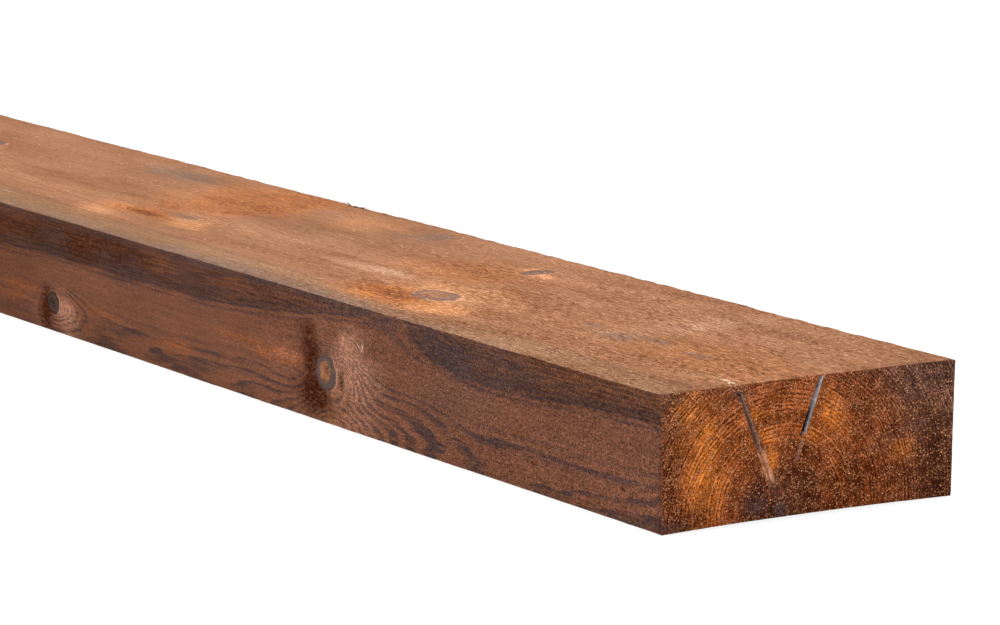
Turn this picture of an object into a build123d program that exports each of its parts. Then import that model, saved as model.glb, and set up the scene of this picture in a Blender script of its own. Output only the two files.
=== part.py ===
from build123d import *

import os
from dataclasses import dataclass
from math import cos, radians, sin

# A railway sleeper: one length of rough-sawn, stained softwood, lying on its wide face.
# X runs along the grain, Y across the width and Z up from the bed. The origin is at the middle of the bed.
# The end at +X was sawn close to the heart of the tree and has split along the rays while it dried.

# Sawn section and length, in millimetres
LENGTH = 2400.0
WIDTH = 250.0
THICKNESS = 100.0
ARRIS_RADIUS = 1.0  # wear along each of the four long edges

# Heart of the tree on the sawn end, from which the rays run out
PITH_OFFSET = -25.0  # from the middle of the width
PITH_HEIGHT = 7.5  # above the bed


@dataclass(frozen=True)
class Slit:
    """A slender opening with bowed sides, measured in a plane across the grain."""

    length: float  # from its outer tip to its inner tip, along the ray
    outer_width: float  # gape at the outer tip
    middle_width: float  # gape half-way along, where it is widest
    inner_width: float  # gape at the inner tip

    def face(self, ray: Plane, middle: float) -> Sketch:
        """The opening's face on a plane whose X runs along the ray, with its middle that far out."""
        near = middle - self.length / 2
        far = middle + self.length / 2
        outer = self.outer_width / 2
        gape = self.middle_width / 2
        inner = self.inner_width / 2
        with BuildSketch(ray) as sketch:
            with BuildLine():
                ThreePointArc((near, inner), (middle, gape), (far, outer))
                Line((far, outer), (far, -outer))
                ThreePointArc((far, -outer), (middle, -gape), (near, -inner))
                Line((near, -inner), (near, inner))
            make_face()
        return sketch.sketch


@dataclass(frozen=True)
class Check:
    """A drying check: a split that gapes on the sawn end along one ray and closes as it runs inwards."""

    lean: float  # tilt of its ray from upright, towards +Y, in degrees
    cover: float  # sound timber between its outer tip and the top face
    depth: float  # how far it runs into the timber, along the grain
    mouth: Slit  # its gape on the end
    root: Slit  # the hairline that is left of it at its full depth

    def void(self) -> Part:
        """The space that the check opens: a loft from its mouth on the end to its root."""
        tilt = radians(self.lean)
        end = Plane(
            origin=(LENGTH / 2, PITH_OFFSET, PITH_HEIGHT),
            x_dir=(0, sin(tilt), cos(tilt)),
            z_dir=(1, 0, 0),
        )
        outer_tip = (THICKNESS - self.cover - PITH_HEIGHT) / cos(tilt)
        middle = outer_tip - self.mouth.length / 2
        return loft([self.mouth.face(end, middle), self.root.face(end.offset(-self.depth), middle)])


# The open check stops well short of the heart, and the tighter one runs down almost to it
OPEN_CHECK = Check(
    lean=20.5,
    cover=1.5,
    depth=90.0,
    mouth=Slit(length=43.0, outer_width=3.0, middle_width=5.0, inner_width=4.0),
    root=Slit(length=24.0, outer_width=0.3, middle_width=0.6, inner_width=0.3),
)
TIGHT_CHECK = Check(
    lean=-21.8,
    cover=7.0,
    depth=60.0,
    mouth=Slit(length=70.0, outer_width=1.2, middle_width=3.4, inner_width=1.6),
    root=Slit(length=40.0, outer_width=0.3, middle_width=0.6, inner_width=0.3),
)


def sawn_timber() -> Part:
    """The sawn section with its worn arrises, run along the grain from end to end."""
    section = RectangleRounded(WIDTH, THICKNESS, ARRIS_RADIUS)
    far_end = Plane(origin=(-LENGTH / 2, 0, THICKNESS / 2), x_dir=(0, 1, 0), z_dir=(1, 0, 0))
    return extrude(far_end * section, amount=LENGTH)


sleeper = sawn_timber() - OPEN_CHECK.void() - TIGHT_CHECK.void()

os.makedirs("parts", exist_ok=True)
export_step(sleeper, "parts/sleeper.step")
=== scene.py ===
"""Railway sleeper: one length of rough-sawn, brown-stained softwood, lying on its bed.

The look follows how the tree grew. Every point of the timber has a growth radius: its distance from
the heart, less the swelling round the branches. That one number places the year rings, the bright
heartwood and the dull outer sapwood on all six faces. Stains, torn grain and drying checks are then
laid on where they belong.

Lengths are millimetres in the sawyer's frame: X is 0 at the checked end and runs negative along the
grain, Y is 0 at the front face and Z is 0 at the bed. Names that end in _m are metres in the part's
own frame.
"""
import functools
import itertools
import logging
import math
from dataclasses import dataclass
from enum import Enum

import bpy
import numpy as np
from mathutils import Matrix, Vector


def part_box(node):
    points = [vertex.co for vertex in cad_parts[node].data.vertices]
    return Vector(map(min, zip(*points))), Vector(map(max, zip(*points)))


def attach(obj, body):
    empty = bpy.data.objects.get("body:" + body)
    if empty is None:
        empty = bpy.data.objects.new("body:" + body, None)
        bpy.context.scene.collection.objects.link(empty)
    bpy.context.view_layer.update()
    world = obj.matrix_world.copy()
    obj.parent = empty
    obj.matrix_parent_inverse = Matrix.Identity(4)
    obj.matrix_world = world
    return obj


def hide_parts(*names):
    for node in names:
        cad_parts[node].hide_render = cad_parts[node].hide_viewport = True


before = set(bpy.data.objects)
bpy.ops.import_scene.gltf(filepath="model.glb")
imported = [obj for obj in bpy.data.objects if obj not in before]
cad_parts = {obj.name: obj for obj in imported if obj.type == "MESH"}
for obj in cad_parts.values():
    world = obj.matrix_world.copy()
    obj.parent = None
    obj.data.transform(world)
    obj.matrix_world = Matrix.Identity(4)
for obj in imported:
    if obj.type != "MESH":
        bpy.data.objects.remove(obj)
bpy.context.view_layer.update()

LOG = logging.getLogger("sleeper")
NODE = "sleeper"
BODY = "root"
BAKE_MAP = "OFBake"
MM = 0.001
# Distance within which a point lies on a face
TOUCH = 1e-6
# Keeps the corners of the noise lattice positive
LATTICE_SHIFT = 4096.0
WHITE = (1.0, 1.0, 1.0)
ALONG_GRAIN = (1.0, 0.0, 0.0)

Array = np.ndarray
Triple = tuple[float, float, float]
Colour = tuple[float, float, float]
Socket = bpy.types.NodeSocket


class Face(Enum):
    """The six sawn faces of the timber."""

    FRONT = 0
    TOP = 1
    BACK = 2
    BED = 3
    CHECKED_END = 4
    PLAIN_END = 5


# Direction into the timber from each face
INWARD = {
    Face.FRONT: np.array((0.0, 1.0, 0.0)),
    Face.TOP: np.array((0.0, 0.0, -1.0)),
    Face.BACK: np.array((0.0, -1.0, 0.0)),
    Face.BED: np.array((0.0, 0.0, 1.0)),
    Face.CHECKED_END: np.array((-1.0, 0.0, 0.0)),
    Face.PLAIN_END: np.array((1.0, 0.0, 0.0)),
}


class Stain(Enum):
    """Kinds of mark on the wood, each kept as one attribute of the mesh."""

    GREY = "grey"
    DARK = "dark"
    BRIGHT = "bright"
    TORN = "torn"
    PALE = "pale"


def smoothstep(low: float, high: float, value: Array) -> Array:
    """Rises smoothly from 0 at low to 1 at high.

    Args:
        low: value at which the step starts.
        high: value at which it ends.
        value: numbers to step.

    Returns:
        The stepped numbers, by the cubic 3t^2 - 2t^3.
    """
    t = np.clip((value - low) / (high - low), 0.0, 1.0)
    return t * t * (3.0 - 2.0 * t)


def lattice_value(cell: Array, seed: int) -> Array:
    """Fixed random numbers on the corners of an integer lattice.

    Args:
        cell: whole-number corners, as an (n, 3) array.
        seed: which set of numbers.

    Returns:
        One number from -1 to 1 for each corner, from a hash of its three whole numbers.
    """
    x, y, z = (cell[:, axis].astype(np.uint64) for axis in range(3))
    mixed = x * np.uint64(374761393) + y * np.uint64(668265263) + z * np.uint64(2246822519)
    mixed = (mixed + np.uint64(seed) * np.uint64(3266489917)) & np.uint64(0xFFFFFFFF)
    mixed = ((mixed ^ (mixed >> np.uint64(13))) * np.uint64(1274126177)) & np.uint64(0xFFFFFFFF)
    mixed = mixed ^ (mixed >> np.uint64(16))
    return mixed.astype(np.float64) / 0x7FFFFFFF - 1.0


def smooth_noise(points: Array, cell: Triple, seed: int) -> Array:
    """Value noise: lattice numbers blended between the eight corners round each point.

    Args:
        points: places to read, as an (n, 3) array.
        cell: size of a lattice cell along X, Y and Z.
        seed: which noise.

    Returns:
        One number from -1 to 1 for each point.
    """
    scaled = points / np.asarray(cell) + LATTICE_SHIFT
    base = np.floor(scaled)
    part = scaled - base
    fade = part * part * (3.0 - 2.0 * part)
    total = np.zeros(len(points))
    for corner in itertools.product((0, 1), repeat=3):
        weight = np.prod(np.where(np.array(corner) == 1, fade, 1.0 - fade), axis=1)
        total += weight * lattice_value(base.astype(np.int64) + np.array(corner), seed)
    return total


def rough_noise(points: Array, cell: Triple, octaves: int, seed: int) -> Array:
    """Fractal noise: value noise added up over octaves, each half as large and half as strong.

    Args:
        points: places to read, as an (n, 3) array.
        cell: size of the coarsest lattice cell.
        octaves: how many sizes are added.
        seed: which noise.

    Returns:
        One number for each point, mostly from -1 to 1.
    """
    total = np.zeros(len(points))
    for octave in range(octaves):
        share = 0.5 ** octave
        total += share * smooth_noise(points, tuple(side * share for side in cell), seed + octave)
    return total


@dataclass(frozen=True)
class Bumps:
    """One layer of fractal noise.

    Attributes:
        cell: size of its coarsest lattice cell along X, Y and Z.
        octaves: how many sizes are added.
        seed: which noise.
        middle: its mean.
        swing: how far it goes to either side.
    """

    cell: Triple
    octaves: int
    seed: int
    middle: float = 0.0
    swing: float = 1.0

    def at(self, points: Array) -> Array:
        """Height of the layer at each point."""
        return self.middle + self.swing * rough_noise(points, self.cell, self.octaves, self.seed)


@dataclass(frozen=True)
class Timber:
    """The sawn block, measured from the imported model's box.

    Attributes:
        length: along the grain.
        width: across the laid section.
        thickness: from bed to top.
        corner_m: the sawyer's zero point in the part's frame.
    """

    length: float
    width: float
    thickness: float
    corner_m: Triple

    @classmethod
    def from_node(cls, node: str) -> "Timber":
        """Reads a CAD node's box.

        Args:
            node: name of the node.

        Returns:
            The timber that fills that box.
        """
        low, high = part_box(node)
        length, width, thickness = ((high[axis] - low[axis]) / MM for axis in range(3))
        return cls(length, width, thickness, (high[0], low[1], low[2]))

    def to_part_m(self, points: Array) -> Array:
        """Moves points from the sawyer's frame to the part's frame, in metres."""
        return points * MM + np.array(self.corner_m)

    def on_face(self, face: Face, first: float, second: float) -> Array:
        """A place on one of the faces.

        Args:
            face: which face.
            first: X on a long face, Y on an end.
            second: Y on the top and the bed, Z on the front, the back and the ends.

        Returns:
            The place as three numbers.
        """
        return np.array({
            Face.FRONT: (first, 0.0, second),
            Face.TOP: (first, second, self.thickness),
            Face.BACK: (first, self.width, second),
            Face.BED: (first, second, 0.0),
            Face.CHECKED_END: (0.0, first, second),
            Face.PLAIN_END: (-self.length, first, second),
        }[face])


@dataclass(frozen=True)
class Knot:
    """A branch cut through by one long face, and the swelling of the rings round it.

    Attributes:
        face: the face that cuts it.
        x: its place along the grain.
        across: its place across the face.
        half_length: its half size along the grain.
        half_width: its half size across the grain.
        swell: how far the rings are pushed out at its rim.
        butt_reach: length over which that dies away towards the checked end.
        crown_reach: the same towards the plain end.
        core: tone of its middle, from 0 for grey to 1 for tan.
        bark: darkness of its rim.
        clear: how clearly it shows, from 0 to 1.
    """

    face: Face
    x: float
    across: float
    half_length: float
    half_width: float
    swell: float = 30.0
    butt_reach: float = 30.0
    crown_reach: float = 18.0
    core: float = 0.5
    bark: float = 0.5
    clear: float = 0.8


@dataclass(frozen=True)
class RingMark:
    """A place on the front face through which the ring of a given radius runs."""

    x: float
    z: float
    radius: float


@dataclass(frozen=True)
class Patch:
    """A soft oval stain on one face.

    Attributes:
        stain: kind of mark.
        face: the face that it is on.
        first: place of its middle, X on a long face and Y on an end.
        second: the other place, as for Timber.on_face.
        half_first: half size along the first direction.
        half_second: half size along the second direction.
        strength: from 0 to 1.
    """

    stain: Stain
    face: Face
    first: float
    second: float
    half_first: float
    half_second: float
    strength: float


def patches(stain: Stain, face: Face, *rows: tuple[float, float, float, float, float]) -> list[Patch]:
    """Patches of one kind on one face.

    Args:
        stain: kind of mark.
        face: the face that they are on.
        rows: the other fields of each patch, in their order.

    Returns:
        A patch for each row.
    """
    return [Patch(stain, face, *row) for row in rows]


def ring_line(radius: float, *places: tuple[float, float]) -> list[RingMark]:
    """Marks for one ring.

    Args:
        radius: growth radius of the ring.
        places: X and Z of the places that it runs through on the front face.

    Returns:
        A mark for each place.
    """
    return [RingMark(x, z, radius) for x, z in places]


# Heart of the tree on the section, radius of the dark line along the front, and width of a year ring
HEART_Y = 100.0
HEART_Z = 7.5
LINE_RADIUS = 102.5
RING_STEP = 2.7


def ring_radius(count: float) -> float:
    """Radius of the dark line that is so many rings outside the one along the front face."""
    return LINE_RADIUS + count * RING_STEP


FRONT_RINGS = [
    *ring_line(ring_radius(7), (0, 79), (-60, 77), (-130, 74), (-200, 69), (-260, 70), (-300, 73),
               (-340, 86), (-372, 104), (-420, 95), (-460, 89), (-500, 84), (-550, 79), (-600, 75),
               (-700, 70), (-800, 69), (-900, 68), (-1000, 67), (-1070, 65)),
    *ring_line(ring_radius(1), (-10, 41), (-52, 40), (-110, 38)),
    *ring_line(ring_radius(0), (-105, 30), (-160, 29.5), (-212, 29), (-257, 27.5), (-550, 25), (-585, 29),
               (-640, 29), (-700, 26), (-760, 23), (-800, 22), (-870, 24)),
    *ring_line(ring_radius(-1), (0, 25), (-40, 16), (-85, 12.5), (-127, 6), (-162, 2.5), (-251, 9),
               (-300, 29), (-325, 35), (-375, 37), (-400, 39), (-650, 19), (-700, 17), (-725, 14),
               (-785, 11)),
    *ring_line(ring_radius(-0.6), (-180, 4), (-200, 6), (-225, 8)),
    *ring_line(ring_radius(-1.6), (-278, 8)),
    *ring_line(ring_radius(-2), (0, 10), (-30, 6), (-70, 4), (-105, 0), (-304, 8), (-322, 20), (-340, 26),
               (-370, 30), (-400, 31), (-537, 15), (-575, 14), (-615, 11), (-635, 5)),
    *ring_line(ring_radius(-3), (-346, 0), (-350, 12), (-362, 17), (-375, 20), (-400, 22)),
    *ring_line(ring_radius(-4), (-367, 0), (-372, 8), (-385, 14), (-400, 17)),
    *ring_line(ring_radius(-5), (-389, 0), (-400, 8)),
    *(RingMark(-407 - 15 * n, 0, ring_radius(-6 - n)) for n in range(5)),
]

KNOTS = [
    Knot(Face.FRONT, -481, 40, 15.5, 13.5, swell=42, butt_reach=36, crown_reach=12, core=0.78,
         bark=0.25, clear=0.95),
    Knot(Face.FRONT, -966, 25, 11, 9, swell=26, butt_reach=30, crown_reach=12, core=0.0,
         bark=0.9, clear=0.95),
    Knot(Face.TOP, -438, 74.5, 26, 15.5, swell=30, butt_reach=34, crown_reach=20, core=0.5, bark=0.0),
    Knot(Face.TOP, -487, 196, 10, 10, swell=24, butt_reach=30, crown_reach=24, core=0.0, bark=0.5),
    Knot(Face.TOP, -905, 92, 20, 6, swell=22, butt_reach=40, crown_reach=24, clear=0.0),
    Knot(Face.BACK, -462, 62, 17, 14, core=0.6, bark=0.4),
    Knot(Face.BACK, -958, 38, 14, 12, core=0.4, bark=0.8),
    Knot(Face.BED, -935, 172, 19, 15, core=0.5, bark=0.5),
    Knot(Face.BED, -448, 190, 15, 12, core=0.3, bark=0.6),
    Knot(Face.FRONT, -1436, 58, 15, 13, core=0.6, bark=0.4),
    Knot(Face.TOP, -1418, 148, 22, 16, core=0.4, bark=0.3),
    Knot(Face.BACK, -1442, 30, 13, 12, core=0.2, bark=0.9),
    Knot(Face.FRONT, -1902, 31, 14, 11, core=0.3, bark=0.7),
    Knot(Face.TOP, -1885, 60, 20, 15, core=0.6, bark=0.4),
    Knot(Face.BACK, -1890, 66, 16, 14, core=0.7, bark=0.3),
    Knot(Face.BED, -1912, 118, 17, 13, core=0.4, bark=0.6),
    Knot(Face.TOP, -2326, 182, 15, 12, core=0.3, bark=0.5),
    Knot(Face.FRONT, -2338, 62, 13, 12, core=0.5, bark=0.5),
]

PATCHES = [
    *patches(
        Stain.DARK, Face.FRONT,
        (-506, 44, 15, 28, 0.85), (-502, 23, 26, 19, 1.0), (-486, 12, 24, 12, 0.45),
        (-171, 22, 2.5, 2.5, 1.0), (-50, 25, 2.5, 2.5, 0.9), (-979, 19, 11, 19, 0.9),
        (-456, 36, 5, 9, 0.8), (-900, 83, 190, 17, 0.6), (-1180, 80, 160, 20, 0.6),
        (-1075, 46, 90, 42, 0.25),
    ),
    *patches(
        Stain.TORN, Face.FRONT,
        (-553, 43, 40, 6, 0.6), (-1028, 32, 46, 3, 0.45), (-1040, 22, 40, 3, 0.4),
        (-890, 30, 50, 5, 0.3), (-735, 22, 46, 5, 0.4), (-630, 46, 44, 4, 0.4),
    ),
    *patches(
        Stain.BRIGHT, Face.FRONT,
        (-438, 46, 34, 26, 0.9), (-430, 18, 30, 16, 0.35), (-455, 62, 16, 10, 0.35),
        (-546, 44, 22, 4, 0.4), (-942, 21, 20, 13, 1.0),
    ),
    *patches(
        Stain.GREY, Face.FRONT,
        (-285, 84, 40, 15, 0.9), (-215, 86, 60, 14, 0.5), (-700, 84, 60, 14, 0.4),
        (-825, 73, 55, 12, 0.45), (-965, 80, 30, 13, 0.4), (-280, 50, 60, 22, 0.22),
        (-395, 95, 24, 7, 0.6),
    ),
    *patches(
        Stain.TORN, Face.TOP,
        (-465, 50, 50, 24, 1.0), (-520, 150, 75, 42, 0.35), (-952, 80, 58, 12, 1.0),
        (-950, 190, 82, 90, 0.65), (-905, 185, 38, 75, 0.75), (-90, 105, 110, 45, 0.25),
    ),
    *patches(
        Stain.DARK, Face.TOP,
        (-930, 190, 85, 85, 0.2), (-898, 160, 24, 40, 0.2), (-942, 78, 32, 8, 0.65),
        (-590, 109, 60, 2.5, 0.3),
    ),
    *patches(
        Stain.BRIGHT, Face.TOP,
        (-390, 52, 38, 20, 1.0), (-432, 80, 56, 34, 0.5), (-785, 205, 50, 26, 0.35),
        (-866, 79, 34, 13, 1.0), (-985, 52, 34, 16, 0.5), (-500, 197, 6, 8, 0.9),
        (-468, 190, 16, 9, 0.9),
    ),
    *patches(
        Stain.GREY, Face.TOP,
        (-687, 222, 20, 18, 1.0), (-700, 200, 40, 12, 0.3), (-212, 98, 24, 9, 1.0),
        (-178, 109, 24, 5, 0.9), (-260, 107, 12, 5, 1.0), (-112, 103, 20, 5, 0.9),
        (-902, 99, 22, 9, 0.8), (-1130, 212, 60, 20, 0.95), (-640, 4, 260, 15, 0.85),
        (-820, 150, 260, 110, 0.12), (-1000, 2, 200, 18, 0.5),
    ),
    *patches(
        Stain.PALE, Face.TOP,
        (-556, 100, 34, 9, 0.9), (-600, 92, 50, 8, 0.6), (-212, 170, 26, 72, 0.35),
    ),
    *patches(
        Stain.DARK, Face.CHECKED_END,
        (84, 10, 16, 12, 0.5), (238, 16, 24, 34, 0.7), (165, 16, 40, 22, 0.7), (112, 40, 14, 16, 0.5),
        (138, 32, 24, 20, 0.3), (170, 66, 9, 22, 0.4), (14, 5, 26, 11, 0.7), (5, 36, 9, 34, 0.5),
    ),
    *patches(
        Stain.GREY, Face.CHECKED_END,
        (178, 42, 12, 4, 0.18), (196, 49, 12, 4, 0.25), (212, 55, 12, 4, 0.2), (224, 92, 30, 14, 0.25),
        (64, 95, 8, 7, 0.35), (100, 6, 6, 6, 1.0), (80, 11, 10, 8, 0.55), (6, 4, 14, 7, 0.4),
    ),
    *patches(
        Stain.BRIGHT, Face.CHECKED_END,
        (38, 42, 16, 36, 0.75), (22, 86, 14, 10, 0.5), (142, 70, 10, 14, 0.8), (128, 58, 7, 5, 0.9),
        (93, 43, 6, 9, 1.0), (88, 62, 5, 6, 0.6), (205, 38, 9, 10, 0.4), (80, 76, 8, 8, 0.5),
    ),
]


@dataclass
class Growth:
    """How the tree grew: its heart, its year rings and the swelling round its branches.

    Attributes:
        timber: the block cut from the tree.
        heart_y: place of the heart across the section.
        heart_z: place of the heart above the bed.
        taper: how much thinner the tree gets for each millimetre towards its crown.
        knots: the branches.
        marks: places on the front face where the rings are known.
        mark_reach: how far a mark bends the rings along X and Z.
        mark_depth: how far into the timber the marks are felt.
        mark_slack: how loosely the rings keep to the marks.
        mark_end: X past which the marks aren't felt.
        slow_waves: wander of the grain.
        beyond_heart: how far points past the heart are put from a branch, in half sizes.
        no_knot: distance that stands for no knot near.
    """

    timber: Timber
    heart_y: float = HEART_Y
    heart_z: float = HEART_Z
    taper: float = 0.006
    knots: tuple[Knot, ...] = tuple(KNOTS)
    marks: tuple[RingMark, ...] = tuple(FRONT_RINGS)
    mark_reach: tuple[float, float] = (70.0, 20.0)
    mark_depth: float = 45.0
    mark_slack: float = 0.02
    mark_end: float = -1400.0
    slow_waves: Bumps = Bumps((260.0, 70.0, 70.0), 1, 11, swing=1.2)
    beyond_heart: float = 50.0
    no_knot: float = 99.0

    def heart_distance(self, points: Array) -> Array:
        """Distance of each point from the heart, straight across the grain."""
        return np.hypot(points[:, 1] - self.heart_y, points[:, 2] - self.heart_z)

    def branch_places(self, points: Array, knot: Knot) -> tuple[Array, Array]:
        """Where points lie across a branch, in half sizes of its knot.

        The branch runs straight from the heart to its knot. Each point's offset from the knot, less its
        part along the branch, is measured along the grain and across it. Points that lie well past the
        heart are put far off.

        Args:
            points: places in the timber.
            knot: the branch.

        Returns:
            The offsets along the grain and across it, each divided by the knot's half size that way.
        """
        centre = self.timber.on_face(knot.face, knot.x, knot.across)
        out = centre - (centre[0], self.heart_y, self.heart_z)
        length = np.linalg.norm(out)
        out /= length
        offset = points - centre
        far = np.where(offset @ out < -0.8 * length, self.beyond_heart, 0.0)
        across = offset @ np.cross(out, ALONG_GRAIN)
        return offset[:, 0] / knot.half_length + far, across / knot.half_width + far

    def branch_swell(self, points: Array, knot: Knot) -> Array:
        """How far one branch pushes the rings out: its swell at the rim, dying away exponentially.

        Args:
            points: places in the timber.
            knot: the branch.

        Returns:
            Millimetres of swelling at each point.
        """
        along, across = self.branch_places(points, knot)
        reach = np.where(along > 0.0, knot.butt_reach, knot.crown_reach)
        gap = np.hypot(along * knot.half_length / reach, across * knot.half_width / knot.crown_reach)
        rim = min(knot.half_length, knot.half_width) / knot.butt_reach
        return knot.swell * np.exp(-np.maximum(gap - rim, 0.0))

    def plain_swell(self, points: Array) -> Array:
        """Taper, slow waves in the grain and all the branches together."""
        plain = self.taper * points[:, 0] + self.slow_waves.at(points)
        return plain + sum(self.branch_swell(points, knot) for knot in self.knots)

    def mark_kernel(self, places: Array, others: Array) -> Array:
        """Pull of each mark on each place: (1 + d) e^-d of their scaled distance d.

        Args:
            places: X and Z of the places.
            others: X and Z of the marks.

        Returns:
            An array of places by marks.
        """
        steps = (places[:, None, :] - others[None, :, :]) / np.array(self.mark_reach)
        distance = math.sqrt(3.0) * np.linalg.norm(steps, axis=2)
        return (1.0 + distance) * np.exp(-distance)

    def swell(self, points: Array) -> Array:
        """How far the rings are pushed out at each point, so that they run through the marks.

        The plain swelling is corrected by a smooth sum of pulls, one from each mark, solved so that the
        growth radius at every mark is its own. The correction dies away inside the timber.

        Args:
            points: places in the timber.

        Returns:
            Millimetres to take off each point's distance from the heart.
        """
        known = np.array([(mark.x, 0.0, mark.z) for mark in self.marks])
        wanted = self.heart_distance(known) - np.array([mark.radius for mark in self.marks])
        places = known[:, (0, 2)]
        steady = self.mark_kernel(places, places) + self.mark_slack * np.eye(len(places))
        pulls = np.linalg.solve(steady, wanted - self.plain_swell(known))
        near = np.flatnonzero((points[:, 1] < 4 * self.mark_depth) & (points[:, 0] > self.mark_end))
        total = self.plain_swell(points)
        bend = self.mark_kernel(points[near][:, (0, 2)], places) @ pulls
        total[near] += bend * np.exp(-points[near, 1] / self.mark_depth)
        return total

    def knot_map(self, points: Array) -> tuple[Array, Array]:
        """The nearest knot to each point, and where the point lies across it.

        Args:
            points: places in the timber.

        Returns:
            An (n, 3) array of the two offsets and their length, and an (n, 3) array of the knot's core
            tone, bark darkness and clearness.
        """
        place = np.full((len(points), 3), self.no_knot)
        tone = np.zeros((len(points), 3))
        for knot in self.knots:
            along, across = self.branch_places(points, knot)
            distance = np.hypot(along, across)
            nearer = distance < place[:, 2]
            place[nearer] = np.stack([along, across, distance], axis=1)[nearer]
            tone[nearer] = (knot.core, knot.bark, knot.clear)
        return place, tone


@dataclass(frozen=True)
class Check:
    """A drying check in the end: a slit along one ray that closes as it runs into the timber.

    Attributes:
        lean: tilt of its ray from upright, in degrees.
        cover: sound timber between its outer tip and the top.
        length: from outer tip to inner tip.
        widths: gape at the inner tip, the middle and the outer tip.
        depth: how far it runs along the grain.
        near_painted_shade: painted shade from its near side to past its middle, at the inner and the outer
            tip.
        far_painted_shade: the same by its far side.
        blend: places along and across it between which one painted shade turns into another.
    """

    lean: float
    cover: float
    length: float
    widths: tuple[float, float, float]
    depth: float
    near_painted_shade: tuple[float, float]
    far_painted_shade: tuple[float, float]
    blend: tuple[float, float] = (0.3, 0.65)

    def centre(self, z: Array, growth: Growth, lowest: float) -> Array:
        """Y of its ray at each height, upright below the lowest height given."""
        rise = np.maximum(z, lowest) - growth.heart_z
        return growth.heart_y + rise * math.tan(math.radians(self.lean))

    def along(self, z: Array, growth: Growth) -> Array:
        """Place along the slit at each height.

        Args:
            z: the heights.
            growth: the tree.

        Returns:
            0 at its inner tip and 1 at its outer tip.
        """
        outer = growth.timber.thickness - self.cover
        inner = outer - self.length * math.cos(math.radians(self.lean))
        return (z - inner) / (outer - inner)

    def half_gape(self, z: Array, growth: Growth) -> Array:
        """Half its gape at each height: the parabola through its three widths, measured along Y.

        Args:
            z: the heights.
            growth: the tree.

        Returns:
            The half gapes.
        """
        t = np.clip(self.along(z, growth), 0.0, 1.0)
        inner, middle, outer = self.widths
        gape = inner * (1 - t) * (1 - 2 * t) + 4 * middle * t * (1 - t) + outer * t * (2 * t - 1)
        return 0.5 * gape / math.cos(math.radians(self.lean))

    def painted_shade(self, t: Array, steps: Array) -> Array:
        """Painted shade inside it: each side's own, from inner to outer tip, blended across the gape.

        Args:
            t: places along the slit.
            steps: places across its gape, from -1 to 1.

        Returns:
            A number from 0 to 1 for each place along and across.
        """
        rise = smoothstep(*self.blend, t)[:, None]
        sides = (self.near_painted_shade, self.far_painted_shade)
        near, far = (inner + (outer - inner) * rise for inner, outer in sides)
        return near + (far - near) * smoothstep(*self.blend, steps)


# near_painted_shade and far_painted_shade set the painted shade inside each check.
OPEN_CHECK = Check(
    lean=20.5, cover=1.5, length=43.0, widths=(4.0, 5.0, 3.0), depth=90.0,
    near_painted_shade=(1.0, 0.25), far_painted_shade=(0.1, 0.0),
)
TIGHT_CHECK = Check(
    lean=-21.8, cover=7.0, length=70.0, widths=(1.6, 3.4, 1.2), depth=60.0,
    near_painted_shade=(0.0, 0.3), far_painted_shade=(0.0, 0.1),
)


@dataclass(frozen=True)
class EndGrid:
    """The grid of points on the checked end, as arrays of (rows + 1) by (columns + 1).

    Attributes:
        y: place across the section.
        depth: how far a point sinks into a check.
        open_wall: 1 on the walls of the open check.
        tight_wall: 1 on the walls of the tight check.
        painted_shade: painted shade inside a check.
    """

    y: Array
    depth: Array
    open_wall: Array
    tight_wall: Array
    painted_shade: Array


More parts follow.
